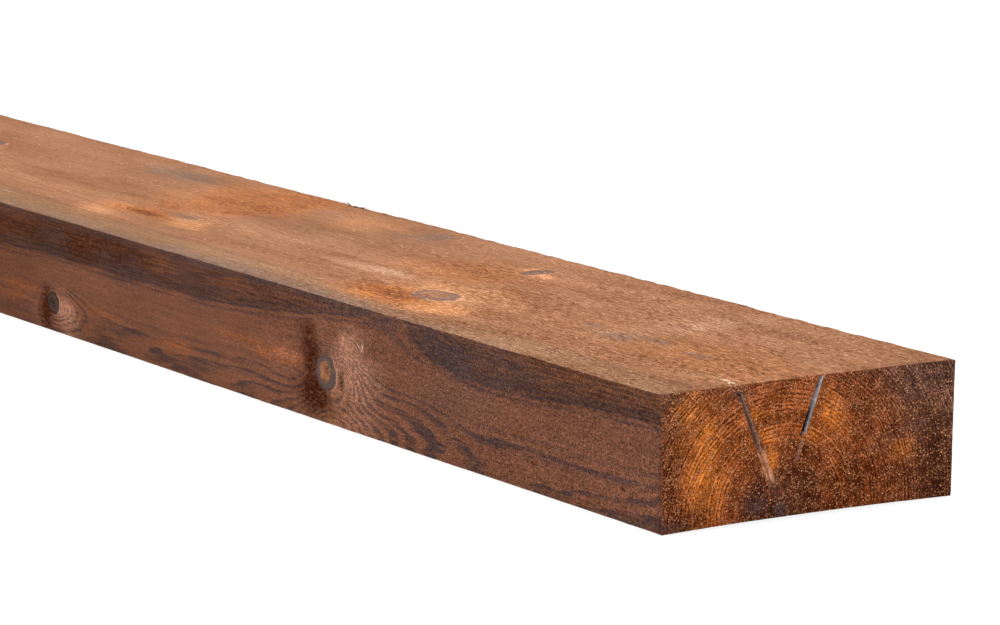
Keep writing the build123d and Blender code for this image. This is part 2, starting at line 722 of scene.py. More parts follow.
@dataclass
class SleeperMesh:
    """The dressed timber as one closed surface: rings of points along the grain, shut by grids.

    Attributes:
        growth: the tree that it was cut from.
        left_columns: grid columns on the end, from the front face to the tight check.
        middle_columns: columns between the checks.
        right_columns: columns from the open check to the back face.
        rows: grid rows from bed to top.
        edge_points: distances from an edge of the timber at which the grid is drawn close.
        end_stations: distances of the first rings from the checked end.
        near_run: start, end and step of the close rings that follow.
        middle_run: end and step of the rings after those.
        far_rings: number of rings on the rest, but for the last.
        far_gap: gap before the first of these, and from the last of them to the plain end.
        rest_gape: half width of a check's columns where it is shut.
        ray_foot: height below which the columns stand upright.
        wall_steps: places of a check's columns across its gape, from -1 to 1.
        wall_sinks: share of the check's depth to which each of them sinks; the far wall is torn back
            to a slope.
        cup: hollow of the bed along its middle.
        crown: rise of the top along its middle.
        back_lean: how far the back leans in at the bed, because the saw cut it a little out of square.
        waves, fibrous: slow and fine relief of the long faces.
        torn_depth, torn_lumps: how deep torn grain lies, and how uneven it is.
        knot_rise, knot_groove: how far a knot stands proud, and the groove round it.
        deepest: most that a long face sinks.
        bed_share: how much of that the bed sinks.
        cross_cut: relief of the ends.
        cross_deepest: most that an end sinks.
        arris: wear on the edges.
        arris_wear: how that wear varies.
        arris_share: how much of the wear goes each way from an edge.
        chips, chip_start, chip_depth: noise of the chips, where they start, and how steeply they deepen.
        nicks: noise of the nicks along the back's top arris.
        nick_depth: most that this arris has splintered away.
        nick_reach: how far from that arris the nicks reach.
        stain_edge: how ragged the edges of stains are.
        stain_depth: how far from its face a stain is felt.
        sharp_angle: degrees between faces above which an edge is sharp.
        map_length: length of a strip on the bake map.
        map_margin: gap between the strips.
        map_end: place of the ends beside the strips.
        map_end_step: distance from one end to the other.
        map_end_width: width of an end.
    """

    growth: Growth
    left_columns: int = 24
    middle_columns: int = 20
    right_columns: int = 40
    rows: int = 42
    edge_points: tuple[float, ...] = (0.0, 0.6, 1.6, 3.8)
    end_stations: tuple[float, ...] = (0.0, 0.7, 2.0, 4.6)
    near_run: Triple = (8.6, 600.0, 4.2)
    middle_run: tuple[float, float] = (1130.0, 6.0)
    far_rings: int = 66
    far_gap: tuple[float, float] = (16.0, 2.0)
    rest_gape: float = 3.6
    ray_foot: float = 24.0
    wall_steps: tuple[float, ...] = (-1.0, -0.85, -0.55, 0.1, 0.32, 0.7, 1.0)
    wall_sinks: tuple[float, ...] = (0.0, 0.6, 1.0, 0.055, 0.04, 0.013, 0.0)
    cup: float = 1.6
    crown: float = 0.4
    back_lean: float = 3.0
    waves: Bumps = Bumps((170.0, 60.0, 60.0), 1, 21, 0.45, 0.3)
    fibrous: Bumps = Bumps((14.0, 4.0, 4.0), 2, 23, swing=0.12)
    torn_depth: float = 0.35
    torn_lumps: Bumps = Bumps((9.0, 5.0, 5.0), 1, 25, swing=0.5)
    knot_rise: float = 0.35
    knot_groove: float = 0.25
    deepest: float = 2.5
    bed_share: float = 0.5
    cross_cut: Bumps = Bumps((8.0, 6.0, 6.0), 2, 27, 0.4, 0.4)
    cross_deepest: float = 1.2
    arris: float = 0.7
    arris_wear: Bumps = Bumps((7.0, 7.0, 7.0), 1, 33, 0.75, 0.35)
    arris_share: float = 0.4
    chips: Bumps = Bumps((26.0, 26.0, 26.0), 3, 31)
    chip_start: float = 0.55
    chip_depth: float = 3.0
    nicks: Bumps = Bumps((14.0, 400.0, 400.0), 2, 35)
    nick_depth: float = 0.5
    nick_reach: float = 4.0
    stain_edge: Bumps = Bumps((30.0, 14.0, 14.0), 2, 41, 1.0, 0.35)
    stain_depth: float = 6.0
    sharp_angle: float = 38.0
    map_length: float = 0.86
    map_margin: float = 0.0018
    map_end: tuple[float, float] = (0.872, 0.01)
    map_end_step: float = 0.32
    map_end_width: float = 0.12

    @property
    def timber(self) -> Timber:
        """The block that the mesh fills."""
        return self.growth.timber

    @property
    def columns(self) -> int:
        """Number of grid columns across the end."""
        plain = self.left_columns + self.middle_columns + self.right_columns
        return plain + 2 * (len(self.wall_steps) - 1)

    def edge_shares(self, count: int, span: float, first_edge: bool, last_edge: bool) -> Array:
        """Even steps from 0 to 1, drawn close at an edge of the timber.

        Args:
            count: number of steps.
            span: real length of the run.
            first_edge: whether the run starts at an edge.
            last_edge: whether it ends at one.

        Returns:
            The count + 1 places.
        """
        drawn = np.array(self.edge_points) / span
        head = drawn if first_edge else np.zeros(1)
        tail = 1.0 - drawn[::-1] if last_edge else np.ones(1)
        between = np.linspace(head[-1], tail[0], count + 3 - len(head) - len(tail))[1:-1]
        return np.concatenate([head, between, tail])

    def row_heights(self) -> Array:
        """Z of the grid's rows."""
        thickness = self.timber.thickness
        return thickness * self.edge_shares(self.rows, thickness, True, True)

    def end_grid(self) -> EndGrid:
        """The grid on the checked end, whose columns follow the two checks.

        Each row runs from the front face to the tight check, across it, on to the open check, across
        that and to the back face. Inside a check the columns step across its gape and sink into the
        timber: a narrow crack beside the near wall and a long slope up to the far one. Along a check the
        depth goes as the root of 4t(1 - t), and is greater towards its inner tip.

        Returns:
            The grid.
        """
        z = self.row_heights()
        steps = np.array(self.wall_steps[:-1])
        shape = (len(z), self.columns + 1)
        y, depth, painted_shade = np.zeros(shape), np.zeros(shape), np.zeros(shape)
        walls = {TIGHT_CHECK: np.zeros(shape), OPEN_CHECK: np.zeros(shape)}
        last_edge = np.zeros_like(z)
        first = 0
        for check, span in ((TIGHT_CHECK, self.left_columns), (OPEN_CHECK, self.middle_columns)):
            centre = check.centre(z, self.growth, self.ray_foot)
            t = check.along(z, self.growth)
            open_here = (t > 0.0) & (t < 1.0)
            gape = np.where(open_here, check.half_gape(z, self.growth), self.rest_gape)
            shares = self.edge_shares(span, self.growth.heart_y / 2, first == 0, False)[:-1]
            between = (centre - gape - last_edge)[:, None] * shares
            y[:, first:first + span] = last_edge[:, None] + between
            inside = np.s_[:, first + span:first + span + len(steps)]
            y[inside] = centre[:, None] + gape[:, None] * steps
            deepest = open_here * check.depth * np.sqrt(np.clip(4 * t * (1 - t), 0.0, 1.0))
            deepest *= np.clip(1.4 - t, 0.4, 1.4)
            depth[inside] = deepest[:, None] * np.array(self.wall_sinks[:-1])
            walls[check][inside] = open_here[:, None] * (steps > -0.99)
            # Painted shade on the walls inside the checks
            painted_shade[inside] = walls[check][inside] * check.painted_shade(t, steps)
            last_edge = centre + gape
            first += span + len(steps)
        shares = self.edge_shares(self.right_columns, self.timber.width / 2, False, True)
        y[:, first:] = last_edge[:, None] + (self.timber.width - last_edge)[:, None] * shares
        return EndGrid(y, depth, walls[OPEN_CHECK], walls[TIGHT_CHECK], painted_shade)

    def stations(self) -> Array:
        """X of the rings of points, close together where the grain is fine.

        Returns:
            The places, from the plain end to the checked end.
        """
        length = self.timber.length
        middle_end, middle_step = self.middle_run
        first_gap, last_gap = self.far_gap
        near = np.concatenate([self.end_stations, np.arange(*self.near_run)])
        middle = np.arange(near[-1] + middle_step, middle_end, middle_step)
        far = np.linspace(middle[-1] + first_gap, length - last_gap, self.far_rings)
        return -np.concatenate([near, middle, far, [length]])[::-1]

    def ring_index(self) -> tuple[Array, Array]:
        """Where the points of a ring lie on the grid.

        Returns:
            The grid row and column of each, once round the section from the bed's front edge.
        """
        rows, columns = self.rows, self.columns
        up, across = np.arange(rows), np.arange(columns)
        row = np.concatenate([np.zeros(columns), up, np.full(columns, rows), rows - up])
        column = np.concatenate([across, np.full(rows, columns), columns - across, np.zeros(rows)])
        return row.astype(int), column.astype(int)

    def section_points(self) -> tuple[Array, Array]:
        """Y and Z of one ring of points round the sawn section."""
        row, column = self.ring_index()
        return self.end_grid().y[row, column], self.row_heights()[row]

    def points(self) -> Array:
        """All points before wear and relief: the rings, then the inside of the grid on each end.

        Returns:
            An (n, 3) array in the sawyer's frame.
        """
        x = self.stations()
        ring_y, ring_z = self.section_points()
        around = (np.tile(ring_y, len(x)), np.tile(ring_z, len(x)))
        tube = np.stack([np.repeat(x, len(ring_y)), *around], axis=1)
        grid = self.end_grid()
        z = np.repeat(self.row_heights()[:, None], grid.y.shape[1], axis=1)
        inside = [values[1:-1, 1:-1].ravel() for values in (-grid.depth, grid.y, z)]
        near = np.stack(inside, axis=1)
        far = near.copy()
        far[:, 0] = -self.timber.length
        return np.concatenate([tube, near, far])

    def faces(self) -> tuple[Array, Array]:
        """The four-sided faces and the sawn face that each belongs to.

        Returns:
            An (m, 4) array of point numbers, pointing outwards, and an (m,) array of Face values.
        """
        row, column = self.ring_index()
        rings, around = len(self.stations()), len(row)
        k, p = np.meshgrid(np.arange(rings - 1) * around, np.arange(around), indexing="ij")
        q = (p + 1) % around
        tube = np.stack([k + p, k + q, k + around + q, k + around + p], axis=-1)
        inside = (self.rows - 1, self.columns - 1)
        count = inside[0] * inside[1]
        caps = []
        for ring, start in ((rings - 1, rings * around), (0, rings * around + count)):
            grid = np.zeros((self.rows + 1, self.columns + 1), dtype=int)
            grid[1:-1, 1:-1] = start + np.arange(count).reshape(inside)
            grid[row, column] = ring * around + np.arange(around)
            corners = [grid[:-1, :-1], grid[:-1, 1:], grid[1:, 1:], grid[1:, :-1]]
            caps.append(np.stack(corners, axis=-1).reshape(-1, 4))
        quads = np.concatenate([tube.reshape(-1, 4), caps[0], caps[1][:, ::-1]])
        sides = [Face.BED.value, Face.BACK.value, Face.TOP.value, Face.FRONT.value]
        side = np.repeat(sides, (self.columns, self.rows, self.columns, self.rows))
        ends = np.repeat([Face.CHECKED_END.value, Face.PLAIN_END.value], len(caps[0]))
        return quads, np.concatenate([np.tile(side, rings - 1), ends])

    def touches(self, points: Array) -> dict[Face, Array]:
        """Which of the plain block's points lie on each face.

        Args:
            points: the points.

        Returns:
            True or False for each point, by face.
        """
        length, width, thickness = self.timber.length, self.timber.width, self.timber.thickness
        x, y, z = points.T
        return {
            Face.FRONT: y < TOUCH,
            Face.TOP: z > thickness - TOUCH,
            Face.BACK: y > width - TOUCH,
            Face.BED: z < TOUCH,
            Face.CHECKED_END: x > -TOUCH,
            Face.PLAIN_END: x < TOUCH - length,
        }

    def relief(self, points: Array, stains: dict[Stain, Array], knots: Array) -> Array:
        """Moves the points from the plain block to the worn, rough-sawn surface.

        The top and the bed bow up along their middle, and the back leans in. Each long face then sinks by
        slow waves, a fibrous roughness and its torn grain, and stands a little proud on its knots, and
        each end sinks by the roughness of the cross cut. At last the arrises are worn.

        Args:
            points: the plain block's points.
            stains: strength of each stain at each point.
            knots: the knot map's offsets at each point.

        Returns:
            The moved points.
        """
        torn = stains[Stain.TORN] * (self.torn_depth + np.abs(self.torn_lumps.at(points)))
        proud = self.knot_rise * (1.0 - smoothstep(0.7, 1.15, knots[:, 2]))
        groove = self.knot_groove * np.exp(-((knots[:, 2] - 1.05) / 0.12) ** 2)
        sawn = self.waves.at(points) + self.fibrous.at(points) + torn - proud + groove
        sink = np.clip(sawn, 0.0, self.deepest)
        cut = np.clip(self.cross_cut.at(points), 0.0, self.cross_deepest)
        across = points[:, 1] / self.timber.width
        height = points[:, 2] / self.timber.thickness
        bow = 1.0 - (2.0 * across - 1.0) ** 2
        out = points.copy()
        out[:, 1] -= self.back_lean * across * (1.0 - height)
        out[:, 2] += self.cup * bow * (1.0 - height) - self.crown * (1.0 - bow) * height
        out[:, 2] -= self.back_nicks(points)
        sinks = {
            Face.FRONT: sink, Face.TOP: sink, Face.BACK: sink, Face.BED: self.bed_share * sink,
            Face.CHECKED_END: cut, Face.PLAIN_END: cut,
        }
        for face, here in self.touches(points).items():
            out[here] += sinks[face][here, None] * INWARD[face]
        return self.worn_arrises(points, out)

    def back_nicks(self, points: Array) -> Array:
        """How far the back's top arris has splintered away.

        It goes as a bell of the distance from the arris, times a ragged step along the grain.

        Args:
            points: the plain block's points.

        Returns:
            The drop of each point.
        """
        across = (self.timber.width - points[:, 1]) / self.nick_reach
        down = (self.timber.thickness - points[:, 2]) / self.nick_reach
        ragged = smoothstep(-0.3, 0.3, self.nicks.at(points))
        return self.nick_depth * ragged * np.exp(-across ** 2 - down ** 2)

    def worn_arrises(self, points: Array, out: Array) -> Array:
        """Wears the edges: points that lie on two faces move inwards from both, more where it chipped.

        Args:
            points: the plain block's points.
            out: the moved points so far.

        Returns:
            The points with worn arrises.
        """
        chip = self.chip_depth * np.maximum(self.chips.at(points) - self.chip_start, 0.0)
        wear = self.arris_share * (self.arris * self.arris_wear.at(points) + chip)
        on_face = self.touches(points)
        for one, other in itertools.combinations(Face, 2):
            edge = on_face[one] & on_face[other]
            out[edge] += wear[edge, None] * (INWARD[one] + INWARD[other])
        return out

    def stain_map(self, points: Array) -> dict[Stain, Array]:
        """Strength of each stain: soft ovals, e^-(d^3) of the scaled distance d from their middle.

        Args:
            points: the plain block's points.

        Returns:
            The strongest patch at each point, by stain.
        """
        strength = {stain: np.zeros(len(points)) for stain in Stain}
        wobble = self.stain_edge.at(points)
        for patch in PATCHES:
            offset = points - self.timber.on_face(patch.face, patch.first, patch.second)
            in_face = INWARD[patch.face] == 0.0
            first, second = offset[:, in_face].T
            depth = offset @ INWARD[patch.face] / self.stain_depth
            distance = np.hypot(first / patch.half_first, second / patch.half_second)
            oval = np.exp(-((distance * wobble) ** 3) - depth ** 2)
            strength[patch.stain] = np.maximum(strength[patch.stain], patch.strength * oval)
        return strength

    def bake_map(self, points: Array, quads: Array, belongs: Array) -> Array:
        """Lays the faces out flat for baking: long faces as two strips each, the ends beside them.

        Args:
            points: the plain block's points.
            quads: the faces.
            belongs: the sawn face of each.

        Returns:
            An (m, 4, 2) array of places in the unit square.
        """
        width, thickness, half = self.timber.width, self.timber.thickness, self.timber.length / 2
        corners = points[quads]
        far_half = corners[:, :, 0].mean(axis=1) < -half
        scale = self.map_length / half
        place = np.zeros((len(quads), 4, 2))
        base = self.map_margin
        strips = ((Face.TOP, 1, width), (Face.FRONT, 2, thickness), (Face.BED, 1, width),
                  (Face.BACK, 2, thickness))
        for (face, axis, size), far in itertools.product(strips, (False, True)):
            chosen = (belongs == face.value) & (far_half == far)
            along = -corners[chosen][:, :, 0] - (half if far else 0.0)
            place[chosen, :, 0] = self.map_margin + along * scale
            place[chosen, :, 1] = base + corners[chosen][:, :, axis] * scale
            base += size * scale + self.map_margin
        end_scale = self.map_end_width / thickness
        for number, face in enumerate((Face.CHECKED_END, Face.PLAIN_END)):
            chosen = belongs == face.value
            corner = np.add(self.map_end, (0.0, number * self.map_end_step))
            place[chosen] = corner + corners[chosen][:, :, (2, 1)] * end_scale
        return place

    def build(self) -> bpy.types.Object:
        """Makes the mesh object with its attributes and its bake map.

        Returns:
            The sleeper's object, standing where the CAD node stands.
        """
        points = self.points()
        quads, belongs = self.faces()
        stains = self.stain_map(points)
        places, tones = self.growth.knot_map(points)
        worn = self.relief(points, stains, places)
        mesh = bpy.data.meshes.new(NODE + "_timber")
        mesh.vertices.add(len(points))
        mesh.vertices.foreach_set("co", self.timber.to_part_m(worn).ravel())
        mesh.loops.add(quads.size)
        mesh.loops.foreach_set("vertex_index", quads.ravel())
        mesh.polygons.add(len(quads))
        mesh.polygons.foreach_set("loop_start", np.arange(len(quads)) * 4)
        mesh.update(calc_edges=True)
        mesh.validate()
        mesh.polygons.foreach_set("use_smooth", np.ones(len(quads), dtype=bool))
        mesh.set_sharp_from_angle(angle=math.radians(self.sharp_angle))
        for stain, strength in stains.items():
            self.store(mesh, stain.value, strength)
        self.store(mesh, "swell", self.growth.swell(points))
        self.store(mesh, "knot", places)
        self.store(mesh, "knot_tone", tones)
        ends = np.isin(belongs, (Face.CHECKED_END.value, Face.PLAIN_END.value))
        lying = np.isin(belongs, (Face.TOP.value, Face.BED.value))
        self.store(mesh, "end_grain", ends.astype(float), "FACE")
        self.store(mesh, "lying", lying.astype(float), "FACE")
        grid = self.end_grid()
        # The check walls, and the painted shade inside the checks
        for name in ("open_wall", "tight_wall", "painted_shade"):
            self.store(mesh, name, self.inside_end(getattr(grid, name), len(points)))
        self.store(mesh, "end_arris", self.end_arrises(points))
        uv = mesh.uv_layers.new(name=BAKE_MAP)
        uv.uv.foreach_set("vector", self.bake_map(points, quads, belongs).ravel())
        sleeper = bpy.data.objects.new(NODE + "_timber", mesh)
        bpy.context.scene.collection.objects.link(sleeper)
        return sleeper

    def end_arrises(self, points: Array) -> Array:
        """1 on the arrises of the two ends, but for those at the bed, and 0 elsewhere.

        Args:
            points: the plain block's points.

        Returns:
            A number for each point.
        """
        on_face = self.touches(points)
        on_end = on_face[Face.CHECKED_END] | on_face[Face.PLAIN_END]
        on_side = on_face[Face.FRONT] | on_face[Face.BACK] | on_face[Face.TOP]
        return (on_end & on_side).astype(float)

    def inside_end(self, grid_values: Array, count: int) -> Array:
        """Spreads a grid's values over the points inside the checked end, with 0 on all the others.

        Args:
            grid_values: the values.
            count: number of points in all.

        Returns:
            A number for each point.
        """
        values = np.zeros(count)
        first_inside = len(self.stations()) * len(self.ring_index()[0])
        inside = grid_values[1:-1, 1:-1].ravel()
        values[first_inside:first_inside + len(inside)] = inside
        return values

    def surface(self, points: Array) -> Array:
        """Where places on the plain block's faces lie on the worn surface."""
        return self.relief(points, self.stain_map(points), self.growth.knot_map(points)[0])

    @staticmethod
    def store(mesh: bpy.types.Mesh, name: str, values: Array, domain: str = "POINT") -> None:
        """Keeps a number or a vector for each point, or for each face, as an attribute.

        Args:
            mesh: the mesh.
            name: name of the attribute.
            values: an array with one number or three for each.
            domain: whether it is for points or for faces.
        """
        kind, key = ("FLOAT", "value") if values.ndim == 1 else ("FLOAT_VECTOR", "vector")
        attribute = mesh.attributes.new(name, kind, domain)
        attribute.data.foreach_set(key, values.astype(np.float32).ravel())


# Darkest factor that a colour is multiplied by
LEAST_SHADE = 0.05


def srgb(red: float, green: float, blue: float) -> Colour:
    """Turns a screen colour into the linear numbers that shaders use.

    Args:
        red: the red channel, from 0 to 255.
        green: the green channel.
        blue: the blue channel.

    Returns:
        The three linear numbers, from 0 to 1.
    """
    return tuple(
        value / 255.0 / 12.92 if value <= 10.3 else ((value / 255.0 + 0.055) / 1.055) ** 2.4
        for value in (red, green, blue)
    )


@dataclass(frozen=True)
class Fleck:
    """Soft noise that is cut by a smooth step.

    Attributes:
        cell: size of its grains along X, Y and Z.
        detail: octaves.
        shift: moves the pattern, so that two noises differ.
        cut: noise at which the step starts and ends.
        level: level before and after the step.
    """

    cell: Triple
    detail: float
    shift: float
    cut: tuple[float, float]
    level: tuple[float, float] = (0.0, 1.0)


@dataclass(frozen=True)
class ShadeLayer:
    """Light and dark streaks along the grain.

    Attributes:
        cell: size of its grains along X, Y and Z.
        detail: octaves.
        shift: moves the pattern.
        side_depth: depth on the front and the back.
        top_depth: depth on the top and the bed.
        sawn: whether it is deeper where the saw left the wood rough.
    """

    cell: Triple
    detail: float
    shift: float
    side_depth: float
    top_depth: float
    sawn: bool = False


@dataclass(frozen=True)
class Smear:
    """A mark along one ray of the checked end.

    Attributes:
        lean: tilt of the ray from upright, in degrees.
        low: height of its lower end.
        high: height of its upper end.
        half_width: half its width.
        depth: its strength.
        colour: its colour.
    """

    lean: float
    low: float
    high: float
    half_width: float
    depth: float
    colour: Colour


@dataclass
class Graph:
    """Short hand for wiring the nodes of one material or world."""

    tree: bpy.types.NodeTree

    @classmethod
    def of(cls, owner: bpy.types.Material | bpy.types.World) -> "Graph":
        """Empties the nodes of a new material or world.

        Args:
            owner: the material or world.

        Returns:
            The graph to wire.
        """
        owner.use_nodes = True
        owner.node_tree.nodes.clear()
        return cls(owner.node_tree)

    def node(self, kind: str) -> bpy.types.Node:
        """Adds a shader node of a kind."""
        return self.tree.nodes.new("ShaderNode" + kind)

    def feed(self, socket: Socket, value: object) -> None:
        """Gives an input its value.

        Args:
            socket: the input.
            value: another node's output to link, or the number, vector or colour to set.
        """
        if isinstance(value, bpy.types.NodeSocket):
            self.tree.links.new(value, socket)
        elif socket.type == "RGBA":
            socket.default_value = (*value, 1.0)
        else:
            socket.default_value = value

    def made(self, kind: str, inputs: dict[str | int, object]) -> bpy.types.Node:
        """Adds a node and feeds its inputs.

        Args:
            kind: kind of node.
            inputs: input names or numbers, with their values.

        Returns:
            The node.
        """
        node = self.node(kind)
        for name, value in inputs.items():
            self.feed(node.inputs[name], value)
        return node

    def worked(self, kind: str, operation: str, values: tuple[object, ...]) -> bpy.types.Node:
        """Adds a node that does one operation on its inputs.

        Args:
            kind: kind of node.
            operation: name of the operation.
            values: what its inputs are fed with, in order.

        Returns:
            The node.
        """
        node = self.node(kind)
        node.operation = operation
        for socket, value in zip(node.inputs, values):
            self.feed(socket, value)
        return node

    def math(self, operation: str, *values: object) -> Socket:
        """Adds a maths node and feeds its inputs in order."""
        return self.worked("Math", operation, values).outputs["Value"]

    def times(self, first: object, *others: object) -> Socket:
        """Product of several numbers."""
        return functools.reduce(lambda one, other: self.math("MULTIPLY", one, other), others, first)

    def fit(self, value: object, slope: object, base: object) -> Socket:
        """A number times a slope, plus a base."""
        return self.math("MULTIPLY_ADD", value, slope, base)

    def vector(self, operation: str, *values: object) -> Socket:
        """Adds a vector maths node that gives a vector."""
        return self.worked("VectorMath", operation, values).outputs["Vector"]

    def length(self, value: object) -> Socket:
        """Length of a vector."""
        return self.worked("VectorMath", "LENGTH", (value,)).outputs["Value"]

    def part(self, value: Socket, axis: str) -> Socket:
        """One number of a vector, by its axis letter."""
        node = self.node("SeparateXYZ")
        self.feed(node.inputs["Vector"], value)
        return node.outputs[axis]

    def step(self, value: object, low: object, high: object, start: float = 0.0, end: float = 1.0) -> Socket:
        """A smooth step between two levels.

        Args:
            value: what is stepped.
            low: where the step starts.
            high: where it ends.
            start: level before it.
            end: level after it.

        Returns:
            The level.
        """
        node = self.made("MapRange", {
            "Value": value, "From Min": low, "From Max": high, "To Min": start, "To Max": end,
        })
        node.interpolation_type = "SMOOTHSTEP"
        return node.outputs["Result"]

    def band(self, value: Socket, rise: tuple[object, object], fall: tuple[float, float]) -> Socket:
        """1 between a rising and a falling step, and 0 outside them.

        Args:
            value: what is stepped.
            rise: where the rising step starts and ends.
            fall: where the falling step starts and ends.

        Returns:
            The level.
        """
        return self.times(self.step(value, *rise), self.step(value, *fall, 1.0, 0.0))

    def mix(self, share: object, one: object, other: object) -> Socket:
        """Mixes two colours.

        Args:
            share: how much of the other colour.
            one: the first colour.
            other: the other colour.

        Returns:
            The mixed colour.
        """
        node = self.node("Mix")
        node.data_type = "RGBA"
        self.feed(node.inputs[0], share)
        self.feed(node.inputs[6], one)
        self.feed(node.inputs[7], other)
        return node.outputs[2]

    def redden(self, colour: object, factor: Socket, reddening: object) -> Socket:
        """Multiplies a colour by a number so that it reddens as it darkens and pales as it brightens.

        Args:
            colour: the colour.
            factor: the number, about 1.
            reddening: how far the red lags behind and the blue runs ahead, as a power.

        Returns:
            The colour, with the factor to the power 1 less the reddening in red and 1 plus it in blue.
        """
        factor = self.math("MAXIMUM", factor, LEAST_SHADE)
        factors = self.made("CombineXYZ", {
            "X": self.math("POWER", factor, self.math("SUBTRACT", 1.0, reddening)),
            "Y": factor,
            "Z": self.math("POWER", factor, self.math("ADD", 1.0, reddening)),
        })
        return self.vector("MULTIPLY", colour, factors.outputs["Vector"])

    def scale(self, colour: object, factor: Socket) -> Socket:
        """Multiplies a colour by a number.

        Args:
            colour: the colour.
            factor: the number.

        Returns:
            The scaled colour.
        """
        node = self.worked("VectorMath", "SCALE", (colour,))
        self.feed(node.inputs["Scale"], factor)
        return node.outputs["Vector"]

    def noise(self, places: Socket, cell: Triple, detail: float, shift: float = 0.0) -> Socket:
        """Soft noise from 0 to 1, about 0.5 in the middle.

        Args:
            places: places in millimetres.
            cell: size of its grains along X, Y and Z.
            detail: octaves.
            shift: moves the pattern, so that two noises differ.

        Returns:
            The noise.
        """
        scaled = self.vector("MULTIPLY_ADD", places, tuple(1.0 / side for side in cell), (shift,) * 3)
        node = self.made("TexNoise", {"Vector": scaled, "Scale": 1.0, "Detail": detail})
        return node.outputs["Fac"]

    def waver(self, places: Socket, cell: Triple, detail: float, shift: float, reach: float) -> Socket:
        """Soft noise about 0, that reaches so far to either side."""
        return self.fit(self.noise(places, cell, detail, shift), 2.0 * reach, -reach)

    def mottle(self, places: Socket, cell: Triple, detail: float, shift: float, depth: float) -> Socket:
        """Soft noise as a factor about 1, with that depth from lowest to highest."""
        return self.fit(self.noise(places, cell, detail, shift), depth, 1.0 - depth / 2)

    def flecks(self, places: Socket, fleck: Fleck) -> Socket:
        """Soft noise that is cut by a step."""
        noise = self.noise(places, fleck.cell, fleck.detail, fleck.shift)
        return self.step(noise, *fleck.cut, *fleck.level)

    def flat(self, places: Socket) -> Socket:
        """Places on an end of the timber: Y and Z as the first two numbers of a vector."""
        node = self.made("CombineXYZ", {"X": self.part(places, "Y"), "Y": self.part(places, "Z")})
        return node.outputs["Vector"]

    def spots(self, places: Socket, spacing: float, size: float, share: object) -> Socket:
        """Scattered round spots with no grid to be seen.

        Args:
            places: flat places in millimetres.
            spacing: mean distance between spots.
            size: their radius, as a share of the spacing.
            share: how many of them show, from 0 to 1.

        Returns:
            0.2 to 1 on a spot, few of them strong, and 0 elsewhere.
        """
        node = self.made("TexVoronoi", {"Vector": places, "Scale": 1.0 / spacing})
        node.voronoi_dimensions = "2D"
        chosen = self.math("LESS_THAN", self.part(node.outputs["Color"], "X"), share)
        bright = self.math("POWER", self.part(node.outputs["Color"], "Y"), 2.0)
        spot = self.step(node.outputs["Distance"], 0.6 * size, size, 1.0, 0.0)
        return self.times(spot, chosen, self.fit(bright, 0.8, 0.2))

    def attribute(self, name: str) -> bpy.types.Node:
        """Reads an attribute of the mesh."""
        node = self.node("Attribute")
        node.attribute_name = name
        return node

    def mask(self, name: str) -> Socket:
        """Reads an attribute that is one number."""
        return self.attribute(name).outputs["Fac"]

    def ramp(self, value: Socket, span: float, stops: tuple[tuple[float, Colour], ...]) -> Socket:
        """A colour ramp.

        Args:
            value: what it runs over.
            span: value at the ramp's right end.
            stops: values and their colours, in order.

        Returns:
            The colour.
        """
        node = self.made("ValToRGB", {"Fac": self.math("DIVIDE", value, span)})
        elements = node.color_ramp.elements
        elements.remove(elements[1])
        elements[0].position = stops[0][0] / span
        elements[0].color = (*stops[0][1], 1.0)
        for place, colour in stops[1:]:
            elements.new(place / span).color = (*colour, 1.0)
        return node.outputs["Color"]

    def levels(self, value: Socket, span: float, stops: tuple[tuple[float, float], ...]) -> Socket:
        """A ramp of plain numbers."""
        return self.ramp(value, span, tuple((place, (level, level, level)) for place, level in stops))

    def by_view(self, light: bpy.types.Node, seen: bpy.types.Node, share: float = 1.0) -> bpy.types.Node:
        """One shader as light, and another where it is seen by itself, reflected or through glass.

        Args:
            light: the shader that lights.
            seen: the shader that is seen.
            share: how much of the second is seen.

        Returns:
            The node that mixes them.
        """
        path = self.node("LightPath").outputs
        direct = self.math("MAXIMUM", path["Is Camera Ray"], path["Is Transmission Ray"])
        direct = self.math("MAXIMUM", direct, path["Is Glossy Ray"])
        inputs = {"Fac": self.times(direct, share), 1: light.outputs[0], 2: seen.outputs[0]}
        return self.made("MixShader", inputs)

    def surface(self, shader: bpy.types.Node, output: str = "OutputMaterial") -> None:
        """Shows a shader on the surface."""
        self.made(output, {"Surface": shader.outputs[0]})


# Growth radius at the right end of the colour ramps
RAMP_SPAN = 200.0


